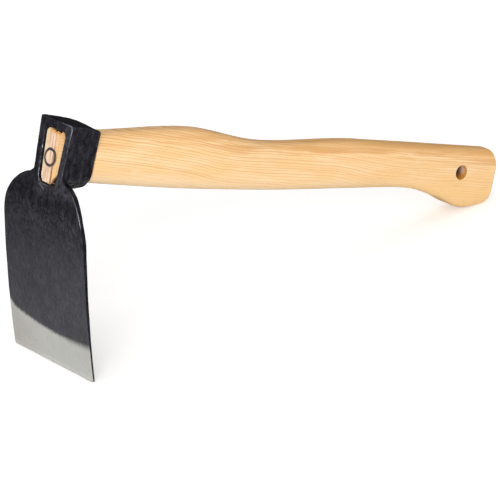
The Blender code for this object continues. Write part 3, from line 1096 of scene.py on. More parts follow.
    def foot_cutter(self) -> Mesh:
        """Slanting block that takes off the near lower corner of the end grain.

        Returns:
            The cutter.
        """
        (y0, z0), (y1, z1) = self.foot_cut_start, self.foot_cut_end
        mesh = bmesh.new()
        bmesh.ops.create_cube(mesh, size=1.0)
        bmesh.ops.subdivide_edges(mesh, edges=mesh.edges[:], cuts=15, use_grid_fill=True)
        bmesh.ops.translate(mesh, vec=(0.0, 0.0, -0.5), verts=mesh.verts)
        bmesh.ops.scale(mesh, vec=self.foot_block, verts=mesh.verts)
        roughen(mesh, lambda point, normal: ripple(point, 1.8, 2.5) * 0.35)
        middle = Matrix.Translation((self.recess, (y0 + y1) / 2, (z0 + z1) / 2))
        mesh.transform(middle @ Matrix.Rotation(math.atan2(z1 - z0, y1 - y0), 4, "X"))
        return mesh

    def chips(self, mesh: Mesh) -> None:
        """Adds the torn splinters in the notch at the top of the end grain.

        Args:
            mesh: the handle's mesh.
        """
        for y, z, size, turn in self.splinters:
            turned = Matrix.Rotation(turn, 4, "X") @ Matrix.Rotation(self.splinter_lean, 4, "Y")
            shape = Matrix.Diagonal((*(Vector(self.splinter_shape) * size), 1.0))
            spot = Matrix.Translation((self.recess - 0.1, y, z)) @ turned @ shape
            made = bmesh.ops.create_icosphere(mesh, subdivisions=2, radius=0.7, matrix=spot)["verts"]
            for vert in made:
                vert.co += vert.co.normalized() * ripple(vert.co, 0.7, turn) * 0.25

    def end_grain(self, point: Vector, normal: Vector) -> float:
        """Mark of the end grain in the eye and of what is cut out of it.

        Args:
            point: the place.
            normal: not used.

        Returns:
            1 there, 0 elsewhere.
        """
        share = point.x / self.eye.depth
        half = self.eye.half_width(point.z) - self.eye.side_taper * share
        over = self.eye.top - self.eye.roof_fall * share - point.z
        under = point.z - self.eye.foot - self.eye.floor_rise * share
        inside = min(half - abs(point.y), over, under) - self.tongue_gap > 0.3
        return float(point.x < self.recess + 0.3 or (point.x < self.recess + 9.0 and inside))

    def bore(self, point: Vector, normal: Vector) -> float:
        """Mark of the inside of the hang hole: 1 there, 0 elsewhere."""
        off = math.hypot(point.x - self.butt + self.hang_from_butt, point.z - self.hang_height)
        return float(off < self.hang_diameter / 2 + 0.4 and abs(point.y) < self.cheek_width / 2 - 0.15)

    def rise(self, point: Vector, normal: Vector) -> float:
        """Mark of the share of the body's height, 0 on the underside and 1 on top."""
        foot, top = self.foot_line(point.x), self.top_line(point.x)
        return limit((point.z - foot) / (top - foot))

    def build(self, material: bpy.types.Material, ring: RingForm) -> Piece:
        """Models the handle.

        Args:
            material: ash.
            ring: the ring wedge that its groove takes.

        Returns:
            The handle.
        """
        soft = self.tongue_chamfer
        tongue = [(self.recess + soft * left, soft * along) for along, left in quarter_round(4)[::-1]]
        tongue += [(x, 0.0) for x in spread(self.recess + soft, self.collar, 12)]
        rings = [self.eye.ring(x, self.tongue_gap + inset) for x, inset in tongue]
        body = [self.body_ring(x) for x in self.places()]
        mesh = skin(dome(rings[0], 30, least=0.02)[::-1] + rings + body + dome(body[-1], 10))
        roughen(mesh, self.sawn)
        cutters = [
            self.hang_cutter(),
            ring.groove(),
            self.jagged_cutter(self.split_top, 26, self.split_corner),
            self.jagged_cutter(self.step_reach, 40, self.step_corner),
            self.notch_cutter(),
            self.foot_cutter(),
        ]
        carved = carve(mesh, cutters)
        self.chips(carved)
        marks = {"end_grain": self.end_grain, "bore": self.bore, "rise": self.rise}
        return Piece("handle_look", carved, material, Slot.ASH, (Node.HANDLE,), marks)


@dataclass
class RingForm:
    """Ring wedge driven into the end grain. Sizes in millimetres."""

    diameter: float = 11.4
    wall: float = 1.6
    tip_wall: float = 0.6
    length: float = 10.0
    front: float = 1.3
    offset: float = 2.396
    drop: float = 0.7
    rounding: float = 0.22
    groove_gap: float = 0.12
    groove_front: float = -4.0
    rim_length: float = 1.5
    steps: int = 96

    def profile(self, grow: float) -> Outline:
        """Closed profile of the ring.

        Args:
            grow: gap by which its sides and tip are grown.

        Returns:
            Points as (x, radius), the tip's two last.
        """
        outer = self.diameter / 2 + grow
        inner = self.diameter / 2 - self.wall - grow
        tip = self.front + self.length + grow
        soft = self.rounding
        line = [(self.front + soft * left, outer - soft * along) for along, left in quarter_round(4)]
        line += [(self.front + soft * along, inner + soft * left) for along, left in quarter_round(4)]
        return line + [(tip, inner), (tip, inner + self.tip_wall + 2 * grow)]

    def turned(self, profile: Outline) -> Mesh:
        """Spins a closed profile about the ring's axis.

        Args:
            profile: points as (x, radius).

        Returns:
            The mesh.
        """
        mesh = bmesh.new()
        verts = [mesh.verts.new((x, self.offset, radius - self.drop)) for x, radius in profile]
        edges = [mesh.edges.new((a, b)) for a, b in zip(verts, verts[1:] + verts[:1])]
        about = {"cent": (0.0, self.offset, -self.drop), "axis": (1.0, 0.0, 0.0), "angle": math.tau}
        bmesh.ops.spin(mesh, geom=verts + edges, steps=self.steps, use_merge=True, **about)
        bmesh.ops.remove_doubles(mesh, verts=mesh.verts, dist=1e-4)
        bmesh.ops.recalc_face_normals(mesh, faces=mesh.faces)
        return mesh

    def groove(self) -> Mesh:
        """Cutter for the groove, open through the end grain.

        Returns:
            The cutter.
        """
        outer = self.diameter / 2 + self.groove_gap
        inner = self.diameter / 2 - self.wall - self.groove_gap
        mouth = [(self.groove_front, outer), (self.groove_front, inner)]
        return self.turned(mouth + self.profile(self.groove_gap)[-2:])

    def hammered(self, point: Vector, normal: Vector) -> float:
        """Unevenness of the hammered rim."""
        rim = max(1 - (point.x - self.front) / self.rim_length, 0.0)
        return rim * (ripple(point, 1.8, 4.4) * 0.10 + ripple(point, 0.7, 9.0) * 0.04 - 0.02)

    def build(self, material: bpy.types.Material) -> Piece:
        """Models the ring.

        Args:
            material: dark hammered steel.

        Returns:
            The ring.
        """
        mesh = self.turned(self.profile(0.0))
        roughen(mesh, self.hammered)
        return Piece("ring_wedge_look", mesh, material, Slot.WEDGE, (Node.RING,))


# Shading


@dataclass(frozen=True)
class Signal:
    """A number, vector, colour or shader that a node puts out; arithmetic on it adds maths nodes.

    Attributes:
        graph: the graph that it belongs to.
        socket: the socket that it comes from.
    """

    graph: Graph
    socket: bpy.types.NodeSocket

    def __add__(self, other: Value) -> Signal:
        """Sum."""
        return self.graph.math("ADD", self, other)

    def __sub__(self, other: Value) -> Signal:
        """Difference."""
        return self.graph.math("SUBTRACT", self, other)

    def __rsub__(self, other: Value) -> Signal:
        """Difference from a number."""
        return self.graph.math("SUBTRACT", other, self)

    def __mul__(self, other: Value) -> Signal:
        """Product."""
        return self.graph.math("MULTIPLY", self, other)

    def __truediv__(self, other: Value) -> Signal:
        """Quotient."""
        return self.graph.math("DIVIDE", self, other)

    def __abs__(self) -> Signal:
        """Size without its sign."""
        return self.graph.math("ABSOLUTE", self)

    def at_least(self, other: Value) -> Signal:
        """The larger of the two."""
        return self.graph.math("MAXIMUM", self, other)

    def ramp(self, start: Value, end: Value, low: Value = 0.0, high: Value = 1.0) -> Signal:
        """Smooth step from low, where the signal is start, to high, where it is end."""
        inputs = {"Value": self, "From Min": start, "From Max": end, "To Min": low, "To Max": high}
        return self.graph.signal("ShaderNodeMapRange", inputs, interpolation_type="SMOOTHSTEP")


def opaque(color: Value) -> Value:
    """A colour of three parts with a fourth of 1; a signal as it is."""
    return color if isinstance(color, Signal) else (*color, 1.0)


class Graph:
    """Adds nodes to one tree and links them."""

    def __init__(self, tree: bpy.types.NodeTree) -> None:
        """Takes the tree that the nodes go to."""
        self.tree = tree

    @classmethod
    def on(cls, owner: bpy.types.Material | bpy.types.World) -> Graph:
        """Graph of a material or a world.

        Args:
            owner: the material or world.

        Returns:
            The graph, empty.
        """
        owner.use_nodes = True
        owner.node_tree.nodes.clear()
        return cls(owner.node_tree)

    def add(self, kind: str, inputs: Inputs | None = None, **settings: object) -> bpy.types.Node:
        """Adds a node.

        Args:
            kind: the node's type name.
            inputs: values or signals for its inputs, by name or place.
            **settings: the node's own properties.

        Returns:
            The node.
        """
        node = self.tree.nodes.new(kind)
        for name, value in settings.items():
            setattr(node, name, value)
        for key, value in (inputs or {}).items():
            if isinstance(value, Signal):
                self.tree.links.new(value.socket, node.inputs[key])
            else:
                node.inputs[key].default_value = value
        row, column = divmod(len(self.tree.nodes), 12)
        node.location = (220.0 * column, -240.0 * row)
        return node

    def signal(self, kind: str, inputs: Inputs | None = None, output: int = 0, **settings: object) -> Signal:
        """Adds a node and takes one of its outputs, by place."""
        return Signal(self, self.add(kind, inputs, **settings).outputs[output])

    def signals(self, kind: str, inputs: Inputs | None = None, **settings: object) -> Signals:
        """Adds a node and takes its outputs, by name."""
        return {socket.name: Signal(self, socket) for socket in self.add(kind, inputs, **settings).outputs}

    def math(self, operation: str, *values: Value, clamp: bool = False) -> Signal:
        """Result of a maths node."""
        return self.signal("ShaderNodeMath", dict(enumerate(values)), operation=operation, use_clamp=clamp)

    def vector(self, operation: str, first: Value, second: Value) -> Signal:
        """Result of a vector maths node: a number for products and distances, else a vector."""
        output = int(operation in ("DOT_PRODUCT", "DISTANCE"))
        return self.signal("ShaderNodeVectorMath", {0: first, 1: second}, output, operation=operation)

    def split(self, vector: Value) -> tuple[Signal, ...]:
        """The vector's three parts."""
        return tuple(self.signals("ShaderNodeSeparateXYZ", {0: vector}).values())

    def noise(
        self, where: Value, scale: Value, detail: float = 2.0, rough: float = 0.5, **more: Value
    ) -> Signal:
        """Noise texture.

        Args:
            where: the place.
            scale: bumps in a millimetre, one number or one for each axis.
            detail: octaves of finer noise.
            rough: their strength.
            **more: other inputs of the texture.

        Returns:
            A number about 0.5.
        """
        if not isinstance(scale, float):
            where, scale = self.vector("MULTIPLY", where, scale), 1.0
        inputs = {"Vector": where, "Scale": scale, "Detail": detail, "Roughness": rough, **more}
        return self.signal("ShaderNodeTexNoise", inputs)

    def cells(self, where: Value, scale: float) -> tuple[Signal, Signal]:
        """Scattered cells: the distance from a cell's middle, and a number drawn for the cell."""
        found = self.signals("ShaderNodeTexVoronoi", {"Vector": where, "Scale": scale})
        return found["Distance"], self.signal("ShaderNodeSeparateColor", {0: found["Color"]})

    def group(self, tree: bpy.types.NodeTree, **inputs: Value) -> Signals:
        """Adds a node group and takes its outputs, by name."""
        return self.signals("ShaderNodeGroup", inputs, node_tree=tree)

    def attribute(self, name: str) -> Signal:
        """Value of a mark."""
        return self.signals("ShaderNodeAttribute", attribute_name=name)["Fac"]

    def coordinates(self) -> Signal:
        """Object coordinates, in metres."""
        return self.signals("ShaderNodeTexCoord")["Object"]

    def blend(self, share: Value, first: Value, second: Value) -> Signal:
        """Number mixed from two."""
        return self.signal("ShaderNodeMix", {0: share, 2: first, 3: second})

    def layers(self, color: Value, *over: tuple[Value, Value]) -> Signal:
        """Lays colours over one another.

        Args:
            color: the lowest colour.
            *over: pairs of a share and the colour that it lays on top, in turn.

        Returns:
            The colour that shows.
        """
        for share, laid in over:
            inputs = {0: share, 6: opaque(color), 7: opaque(laid)}
            color = self.signal("ShaderNodeMix", inputs, 2, data_type="RGBA")
        return color

    def bump(self, height: Signal, strength: float, distance: float) -> Signal:
        """Normal that a height bends, with the distance in metres."""
        return self.signal("ShaderNodeBump", {"Strength": strength, "Distance": distance, "Height": height})

    def surface(
        self, inputs: Inputs, kind: str = "ShaderNodeBsdfPrincipled", owner: str = "Material"
    ) -> None:
        """Adds the last shader, with its inputs, and the output of the material or world."""
        self.add(f"ShaderNodeOutput{owner}", {"Surface": self.signal(kind, inputs)})


def node_group(
    name: str, inputs: dict[str, str], fill: Callable[[Graph, Signals], Signals]
) -> bpy.types.NodeTree:
    """Makes a shader node group.

    Args:
        name: the group's name.
        inputs: the socket type of each input, by name.
        fill: adds the nodes between the given inputs and the outputs that it returns, by name.

    Returns:
        The group.
    """
    tree = bpy.data.node_groups.new(name, "ShaderNodeTree")
    for label, kind in inputs.items():
        tree.interface.new_socket(label, in_out="INPUT", socket_type=kind)
    graph = Graph(tree)
    results = fill(graph, graph.signals("NodeGroupInput"))
    for label, result in results.items():
        kind = VECTOR if result.socket.type == "VECTOR" else FLOAT
        tree.interface.new_socket(label, in_out="OUTPUT", socket_type=kind)
    graph.add("NodeGroupOutput", results)
    return tree


def tool_space(graph: Graph, given: Signals) -> Signals:
    """Turns object coordinates into tool millimetres.

    Args:
        graph: the group's graph.
        given: Vector, the object coordinates.

    Returns:
        Tool, the place in tool millimetres.
    """
    shifted = graph.vector("SUBTRACT", given["Vector"], (STAND.x, 0.0, STAND.z))
    cos, sin = math.cos(STAND.tilt) * 1000, math.sin(STAND.tilt) * 1000
    axes = ((cos, 0.0, -sin), (0.0, 1000.0, 0.0), (sin, 0.0, cos))
    parts = [graph.vector("DOT_PRODUCT", shifted, axis) for axis in axes]
    return {"Tool": graph.signal("ShaderNodeCombineXYZ", dict(enumerate(parts)))}


def growth_rings(graph: Graph, given: Signals) -> Signals:
    """Cuts ash growth rings: layers that rise and fall along the handle, with fibres, pores and figure.

    Args:
        graph: the group's graph.
        given: Tool, the place.

    Returns:
        Ring, Fibre, Pore and Figure.
    """
    tool = given["Tool"]
    x, y, z = graph.split(tool)
    fall = x * (x * -0.00006 + 0.048) + x.ramp(36.0, 150.0, 0.0, 4.6) + x.ramp(205.0, 270.0, 0.0, 2.6)
    drift = graph.noise(tool, (0.012, 0.02, 0.02), 1.0)
    wave = graph.noise(tool, (0.035, 0.09, 0.09))
    off = y - 5.0
    level = z + fall + drift * 5.0 + wave * 1.8 - off * off * 0.012
    widths = {"W": level, "Scale": 0.28, "Detail": 1.0}
    phase = graph.signal("ShaderNodeTexNoise", widths, noise_dimensions="1D") * 1.3 + level * 0.58
    part = graph.math("FRACT", phase)
    drawn = {"W": graph.math("FLOOR", phase)}
    strength = graph.signals("ShaderNodeTexWhiteNoise", drawn, noise_dimensions="1D")["Value"]
    line = part.ramp(0.50, 0.84) * part.ramp(0.87, 1.0, 1.0, 0.0)
    pores = graph.noise(tool, (0.20, 4.2, 4.2))
    return {
        "Ring": line * (strength * 0.55 + 0.45) * level.ramp(-8.0, 3.0, 0.22, 1.0),
        "Fibre": graph.noise(tool, (0.035, 2.2, 2.2), 4.0, 0.6),
        "Pore": pores.ramp(0.56, 0.70) * part.ramp(0.55, 0.90),
        "Figure": graph.noise(tool, (0.018, 0.26, 0.36), Distortion=0.7),
    }


def edge_wear(graph: Graph, given: Signals) -> Signals:
    """Breaks up the wear and painted highlight of an edge: full where the mark is strong, patchy where it is
    weak.

    Args:
        graph: the group's graph.
        given: Tool, the place, and Mark, the wear and painted highlight.

    Returns:
        Bare, from 0 to 1.
    """
    patch = graph.noise(given["Tool"], 0.55, 4.0, 0.6)
    return {"Bare": (given["Mark"] + patch * 0.8).ramp(0.68, 1.18)}


def forge_skin(graph: Graph, given: Signals) -> Signals:
    """Forged and lacquered skin: relief, upright streaks, mottling with painted sheen and shade, specks and a
    painted highlight on the lip below the eye.

    Args:
        graph: the group's graph.
        given: Tool, the place.

    Returns:
        Relief, Streak, Mottle, Patch, Dust and Lap.
    """
    tool = given["Tool"]
    x, y, z = graph.split(tool)
    rugged = z.ramp(-62.0, -22.0, 0.14, 0.75)
    pit = graph.cells(tool, 0.55)[0].ramp(0.17, 0.05)
    relief = graph.noise(tool, 0.30, 4.0, 0.6) * 2.2 - pit * 0.5

    patch = graph.noise(tool, (0.4, 0.42, 0.30), 5.0, 0.62, Distortion=0.8)
    patch = patch.ramp(0.36, 0.64, rugged * -0.8 + 0.86, 1.0)
    cloud = graph.noise(tool, (0.10, 0.13, 0.05), 3.0, 0.6).ramp(0.36, 0.64, 0.84, 1.06)
    # bend dims the reflection in the blade's bend, painted shade; sheen is painted brighter towards the near
    # side and dimmer low on the blade.
    bend = 1.0 - z.ramp(-62.0, -36.0) * z.ramp(-14.0, -22.0, 0.0, 0.20)
    sheen = y.ramp(-36.0, 30.0, 1.14, 0.95) * z.ramp(-60.0, -100.0, 1.0, 0.93)

    speck, pick = graph.cells(tool, 0.36)
    # A short bright line below the eye: painted highlight on the edge of the lip there.
    flat = graph.vector("MULTIPLY", tool, (0.0, 1.0, 1.0))
    along = graph.vector("SUBTRACT", flat, (0.0, 6.6, -17.2))
    way = (0.0, -0.9236, -0.3834)
    reach = graph.math("MINIMUM", graph.vector("DOT_PRODUCT", along, way).at_least(0.0), 5.8)
    step = graph.signal("ShaderNodeVectorMath", {0: way, "Scale": reach}, operation="SCALE")
    return {
        "Relief": relief * rugged + graph.noise(tool, 1.2) * 0.10,
        "Streak": graph.noise(tool, (0.9, 0.9, 0.045), 4.0, 0.65),
        "Mottle": graph.noise(tool, (0.22, 0.22, 0.12), 5.0, 0.65),
        "Patch": patch * cloud * bend * sheen,
        "Dust": speck.ramp(0.15, 0.05) * pick.ramp(0.74, 0.8),
        "Lap": graph.vector("DISTANCE", along, step).ramp(0.75, 0.1) * x.ramp(1.6, 0.8),
    }


def ground_band(graph: Graph, given: Signals, form: HeadForm) -> Signals:
    """Bare band along the cutting edge, darker on the far side and on the edge itself.

    Args:
        graph: the group's graph.
        given: Tool, the place, and Front, the mark of the front face.
        form: the head's form.

    Returns:
        Bare, from 0 to 1; Stone, the marks of the stone; Stain, from 0 to 1.
    """
    tool, band, edge = given["Tool"], form.band, form.cutting_edge
    _, y, z = graph.split(tool)
    line = y * (y * band.bow + band.slope) + (band.middle + edge)
    line = line + y.ramp(band.climb_start, band.climb_end, 0.0, band.climb)
    ragged = graph.noise(tool, 0.55, 4.0, 0.65) * 2.6 - 1.3
    share = (line + ragged - z) / (y.ramp(0.0, -34.0, 1.5, 2.8) * 2.0) + 0.5
    middle, pick = graph.cells(tool, 0.22)
    speck = middle.ramp(0.24, 0.08) * pick.ramp(0.60, 0.66)
    cloud = graph.noise(tool, 0.10, 3.0, 0.6).ramp(0.42, 0.66, 0.0, 0.22)
    far = y.ramp(4.0, 40.0, 0.0, 0.85) * z.ramp(edge + 24.0, edge + 8.0, 0.35, 1.0)
    stain = cloud.at_least(speck).at_least(z.ramp(edge + 1.0, edge + 0.2))
    return {
        "Bare": share.ramp(0.0, 1.0) * given["Front"],
        "Stone": graph.noise(tool, (0.3, 2.6, 0.10), 3.0, 0.6),
        "Stain": graph.math("ADD", stain, far, clamp=True),
    }


@dataclass(frozen=True)
class Groups:
    """Shader node groups that the finishes share."""

    tool_space: bpy.types.NodeTree
    growth_rings: bpy.types.NodeTree
    edge_wear: bpy.types.NodeTree
    forge_skin: bpy.types.NodeTree
    ground_band: bpy.types.NodeTree

    @classmethod
    def make(cls, head: HeadForm) -> Groups:
        """Makes the groups, each once.

        Args:
            head: the head's form, for the place of its ground band.

        Returns:
            The groups.
        """
        tool = {"Tool": VECTOR}
        return cls(
            node_group("tool_space", {"Vector": VECTOR}, tool_space),
            node_group("growth_rings", tool, growth_rings),
            node_group("edge_wear", {**tool, "Mark": FLOAT}, edge_wear),
            node_group("forge_skin", tool, forge_skin),
            node_group("ground_band", {**tool, "Front": FLOAT}, lambda *ends: ground_band(*ends, head)),
        )

    def place(self, graph: Graph) -> Signal:
        """Adds the nodes that give a material its place in tool millimetres."""
        return graph.group(self.tool_space, Vector=graph.coordinates())["Tool"]


@dataclass(frozen=True)
class LacqueredSteel:
    """Near-black satin lacquer over forged steel, ground bare along the cutting edge, its edges showing wear
    and painted highlights, with painted sheen in places.
    """

    lacquer: Point = (0.0030, 0.0028, 0.0050)
    streaked: Point = (0.0300, 0.0285, 0.0390)
    dust: Point = (0.10, 0.10, 0.115)
    rubbed: Point = (0.055, 0.052, 0.062)
    worn: Point = (0.25, 0.26, 0.29)
    steel: Point = (0.585, 0.590, 0.535)
    dull_steel: Point = (0.55, 0.55, 0.50)
    stain: Point = (0.33, 0.30, 0.24)
    tint: Point = (0.86, 0.83, 1.0)
    roughness: float = 0.12
    bare_roughness: float = 0.30
    metallic: float = 0.92
    eye_sheen: float = 0.08
    side_sheen: float = 0.3
    relief_depth: float = 0.00045

    def build(self, groups: Groups) -> bpy.types.Material:
        """Makes the material.

        Args:
            groups: the shared node groups.

        Returns:
            The material.
        """
        material = bpy.data.materials.new("black_lacquered_steel_look")
        graph = Graph.on(material)
        tool = groups.place(graph)
        forged = graph.group(groups.forge_skin, Tool=tool)
        ground = graph.group(groups.ground_band, Tool=tool, Front=graph.attribute("front"))
        worn = graph.group(groups.edge_wear, Tool=tool, Mark=graph.attribute("worn"))["Bare"]
        # The painted highlight below the eye joins the edges' wear and highlight.
        worn = worn.at_least(forged["Lap"] * 0.55)
        bare = worn.at_least(ground["Bare"])
        coat = graph.layers(
            self.lacquer,
            (forged["Streak"].ramp(0.42, 0.66) * forged["Mottle"].ramp(0.36, 0.62), self.streaked),
            (forged["Dust"], self.dust),
            # Lighter lacquer painted as sheen on the socket's near front wall and below the eye.
            (graph.attribute("rubbed") * forged["Patch"], self.rubbed),
            # Edges: wear and painted highlight.
            (worn, self.worn),
        )
        steel = graph.layers(
            self.steel,
            (ground["Stone"].ramp(0.3, 0.7), self.dull_steel),
            (ground["Stain"] * 0.5, self.stain),
        )
        inner = graph.attribute("inner").ramp(0.2, 0.8, 0.5, self.eye_sheen)
        narrow = graph.attribute("narrow").ramp(0.1, 0.9, 1.0, self.side_sheen)
        rough_coat = forged["Mottle"] * 0.40 + self.roughness
        rough_bare = ground["Stone"] * 0.10 + self.bare_roughness
        height = graph.blend(ground["Bare"], forged["Relief"], ground["Stone"] * 0.14)
        surface = {
            "Base Color": graph.layers(coat, (ground["Bare"], steel)),
            "Metallic": bare * self.metallic,
            "Roughness": graph.blend(bare, rough_coat, rough_bare),
            "Specular IOR Level": graph.blend(bare, forged["Patch"] * inner * narrow, 0.5),
            "Specular Tint": opaque(self.tint),
            "Normal": graph.bump(height, 1.0, self.relief_depth),
        }
        graph.surface(surface)
        return material


@dataclass(frozen=True)
class Ash:
    """Sanded, lightly oiled ash with tan growth rings, deeper on top; sawn end grain in the eye. Light and
    shade are partly painted in: a lighter underside, shade on top, and light and shade in the hang hole and
    on the end grain.
    """

    pale: Point = (0.84, 0.555, 0.268)
    cream: Point = (0.87, 0.640, 0.390)
    tan: Point = (0.66, 0.318, 0.100)
    deep: Point = (0.74, 0.400, 0.135)
    deep_ring: Point = (0.50, 0.215, 0.060)
    warm: Point = (0.80, 0.480, 0.165)
    pore: Point = (0.52, 0.28, 0.11)
    bored: Point = (0.62, 0.29, 0.045)
    bored_highlight: Point = (0.76, 0.54, 0.41)
    bored_shade: Point = (0.10, 0.05, 0.025)
    end_pale: Point = (0.85, 0.64, 0.46)
    end_line: Point = (0.62, 0.33, 0.19)
    end_gold: Point = (0.86, 0.55, 0.25)
    end_rim_shade: Point = (0.76, 0.38, 0.11)
    end_far_highlight: Point = (0.84, 0.70, 0.42)
    split: Point = (0.42, 0.20, 0.07)
    gap: Point = (0.020, 0.014, 0.010)
    roughness: float = 0.46
    relief: float = 0.25
    relief_depth: float = 0.00012

    def build(self, groups: Groups, handle: HandleForm) -> bpy.types.Material:
        """Makes the material.

        Args:
            groups: the shared node groups.
            handle: the handle's form, for the places of its split, its end and its hole.

        Returns:
            The material.
        """
        material = bpy.data.materials.new("ash_look")
        graph = Graph.on(material)
        tool = groups.place(graph)
        _, y, z = graph.split(tool)
        grain = graph.group(groups.growth_rings, Tool=tool)
        lines = graph.noise(tool, (1.0, 1.5, 0.10), 4.0, 0.6)
        end = graph.attribute("end_grain")
        color = graph.layers(
            self.planed(graph, tool, grain),
            (graph.attribute("bore"), self.drilled(graph, abs(y), z, handle)),
            (end, self.sawn(graph, tool, lines, handle)),
        )
        height = graph.blend(end, grain["Fibre"] * 0.5 - grain["Pore"] * 0.6, lines)
        surface = {
            "Base Color": color,
            "Roughness": grain["Fibre"] * 0.12 + self.roughness,
            "Normal": graph.bump(height, self.relief, self.relief_depth),
        }
        graph.surface(surface)
        return material

    def planed(self, graph: Graph, tool: Signal, grain: Signals) -> Signal:
        """Colour of the handle's long sides.

        Args:
            graph: the material's graph.
            tool: the place.
            grain: what the growth rings put out.

        Returns:
            The colour.
        """
        x, _, _ = graph.split(tool)
        rise = graph.attribute("rise")
        patches = graph.noise(tool, (0.03, 0.10, 0.13), 4.0, 0.6)
        rings = grain["Ring"] * rise.ramp(0.10, 0.42, 0.25, 1.0) * x.ramp(150.0, 250.0, 0.86, 0.55)
        figure = grain["Figure"].ramp(0.42, 0.62) * rise.ramp(0.60, 0.84, 0.0, 0.75)
        return graph.layers(
            self.pale,
            (patches.ramp(0.42, 0.66, 0.0, 0.6), self.cream),
            # Painted light: the underside is lightened with cream, less towards the butt.
            (rise.ramp(0.34, 0.04) * x.ramp(170.0, 260.0, 0.85, 0.35), self.cream),
            (grain["Fibre"].ramp(0.40, 0.72, 0.0, 0.26), self.tan),
            (rings, self.tan),
            (rings * rise.ramp(0.62, 0.90, 0.0, 0.35), self.deep_ring),
            (figure * x.ramp(70.0, 160.0, 0.55, 1.0), self.tan),
            # The top darkens towards the butt: partly the deeper tone of the tangential grain, partly painted
            # shade.
            (rise.ramp(0.80, 0.98) * x.ramp(110.0, 300.0, 0.20, 0.78), self.deep),
            (x.ramp(215.0, 300.0, 0.0, 0.45) * rise.ramp(0.62, 0.10), self.warm),
            (grain["Pore"] * 0.55, self.pore),
        )

    def drilled(self, graph: Graph, off: Signal, z: Signal, handle: HandleForm) -> Signal:
        """Colour inside the hang hole, its light painted in: a painted highlight near its mouths, golden
        below and painted shade deep within.

        Args:
            graph: the material's graph.
            off: distance from the middle plane.
            z: the height.
            handle: the handle's form.

        Returns:
            The colour.
        """
        return graph.layers(
            self.bored,
            # Painted highlight near the mouths, then painted shade deep within.
            (off.ramp(10.5, 6.5), self.bored_highlight),
            (z.ramp(handle.hang_height + 0.6, handle.hang_height - 3.0), self.bored),
            (off.ramp(7.5, 2.0, 0.0, 0.92), self.bored_shade),
        )

    def sawn(self, graph: Graph, tool: Signal, lines: Signal, handle: HandleForm) -> Signal:
        """Colour of the end grain: pale and golden halves, painted shade along its rim, the split, a painted
        highlight on its far edge and painted shade on the walls of what is cut.

        Args:
            graph: the material's graph.
            tool: the place.
            lines: upright lines of the growth rings.
            handle: the handle's form.

        Returns:
            The colour.
        """
        x, y, z = graph.split(tool)
        gold = graph.layers(self.end_gold, (lines.ramp(0.45, 0.80), self.end_line))
        ragged = graph.noise(tool, 0.5, 3.0) * 5.0 - 2.5
        # rim: where the end grain meets the eye's rim on top and on the near side, painted darker as shade.
        rim = (z + ragged).ramp(11.5, 15.5).at_least((y + ragged).ramp(-5.5, -9.0))
        split = abs(y - (z * 0.06 + (handle.split_at + 0.6))).ramp(0.9, 0.15)
        return graph.layers(
            self.end_pale,
            (lines.ramp(0.42, 0.68), self.end_line),
            (y.ramp(handle.split_at + 1.0, handle.split_at - 0.6), gold),
            (rim * 0.8, self.end_rim_shade),
            (split * z.ramp(6.0, -6.0, 0.3, 0.85), self.split),
            # Painted highlight on the far edge of the end grain.
            (y.ramp(4.5, 8.5, 0.0, 0.7), self.end_far_highlight),
            # Walls of what is cut, painted darker the deeper they lie: painted shade.
            (x.ramp(handle.recess + 0.6, handle.recess + 1.4, 0.0, 0.9), self.split),
            (x.ramp(handle.recess + 1.3, handle.recess + 2.5), self.gap),
        )


@dataclass(frozen=True)
class WedgeSteel:
    """Dark hammered steel of the ring wedge."""

    dark: Point = (0.15, 0.125, 0.11)
    bright: Point = (0.42, 0.40, 0.38)
    metallic: float = 0.85
    roughness: float = 0.30
    relief: float = 0.5
    relief_depth: float = 0.0001

    def build(self, groups: Groups) -> bpy.types.Material:
        """Makes the material.

        Args:
            groups: the shared node groups.

        Returns:
            The material.
        """
        material = bpy.data.materials.new("wedge_steel_look")
        graph = Graph.on(material)
        patch = graph.noise(groups.place(graph), 1.1, 4.0, 0.6)
        surface = {
            "Base Color": graph.layers(self.dark, (patch.ramp(0.52, 0.72), self.bright)),
            "Metallic": self.metallic,
            "Roughness": patch * 0.3 + self.roughness,
            "Normal": graph.bump(patch, self.relief, self.relief_depth),
        }
        graph.surface(surface)
        return material


# Studio


@dataclass(frozen=True)
class Softbox:
    """Square area light.

    Attributes:
        name: the light's name.
        place: where it hangs, in metres.
        size: its width, in metres.
        power: in watts.
        mirrored: whether it shows in reflections.
        aim: what it faces, in metres.
    """

    name: str
    place: Point
    size: float
    power: float
    mirrored: bool = True
    aim: Point = (-0.05, 0.0, 0.08)

    def build(self) -> bpy.types.Object:
        """Hangs the light.

        Returns:
            The light.
        """
        light = bpy.data.lights.new(self.name, "AREA")
        light.shape = "SQUARE"
        light.size = self.size
        light.energy = self.power
        obj = bpy.data.objects.new(self.name, light)
        obj.location = self.place
        obj.rotation_euler = (Vector(self.aim) - Vector(self.place)).to_track_quat("-Z", "Y").to_euler()
        obj.visible_glossy = self.mirrored
        bpy.context.scene.collection.objects.link(obj)
        return obj


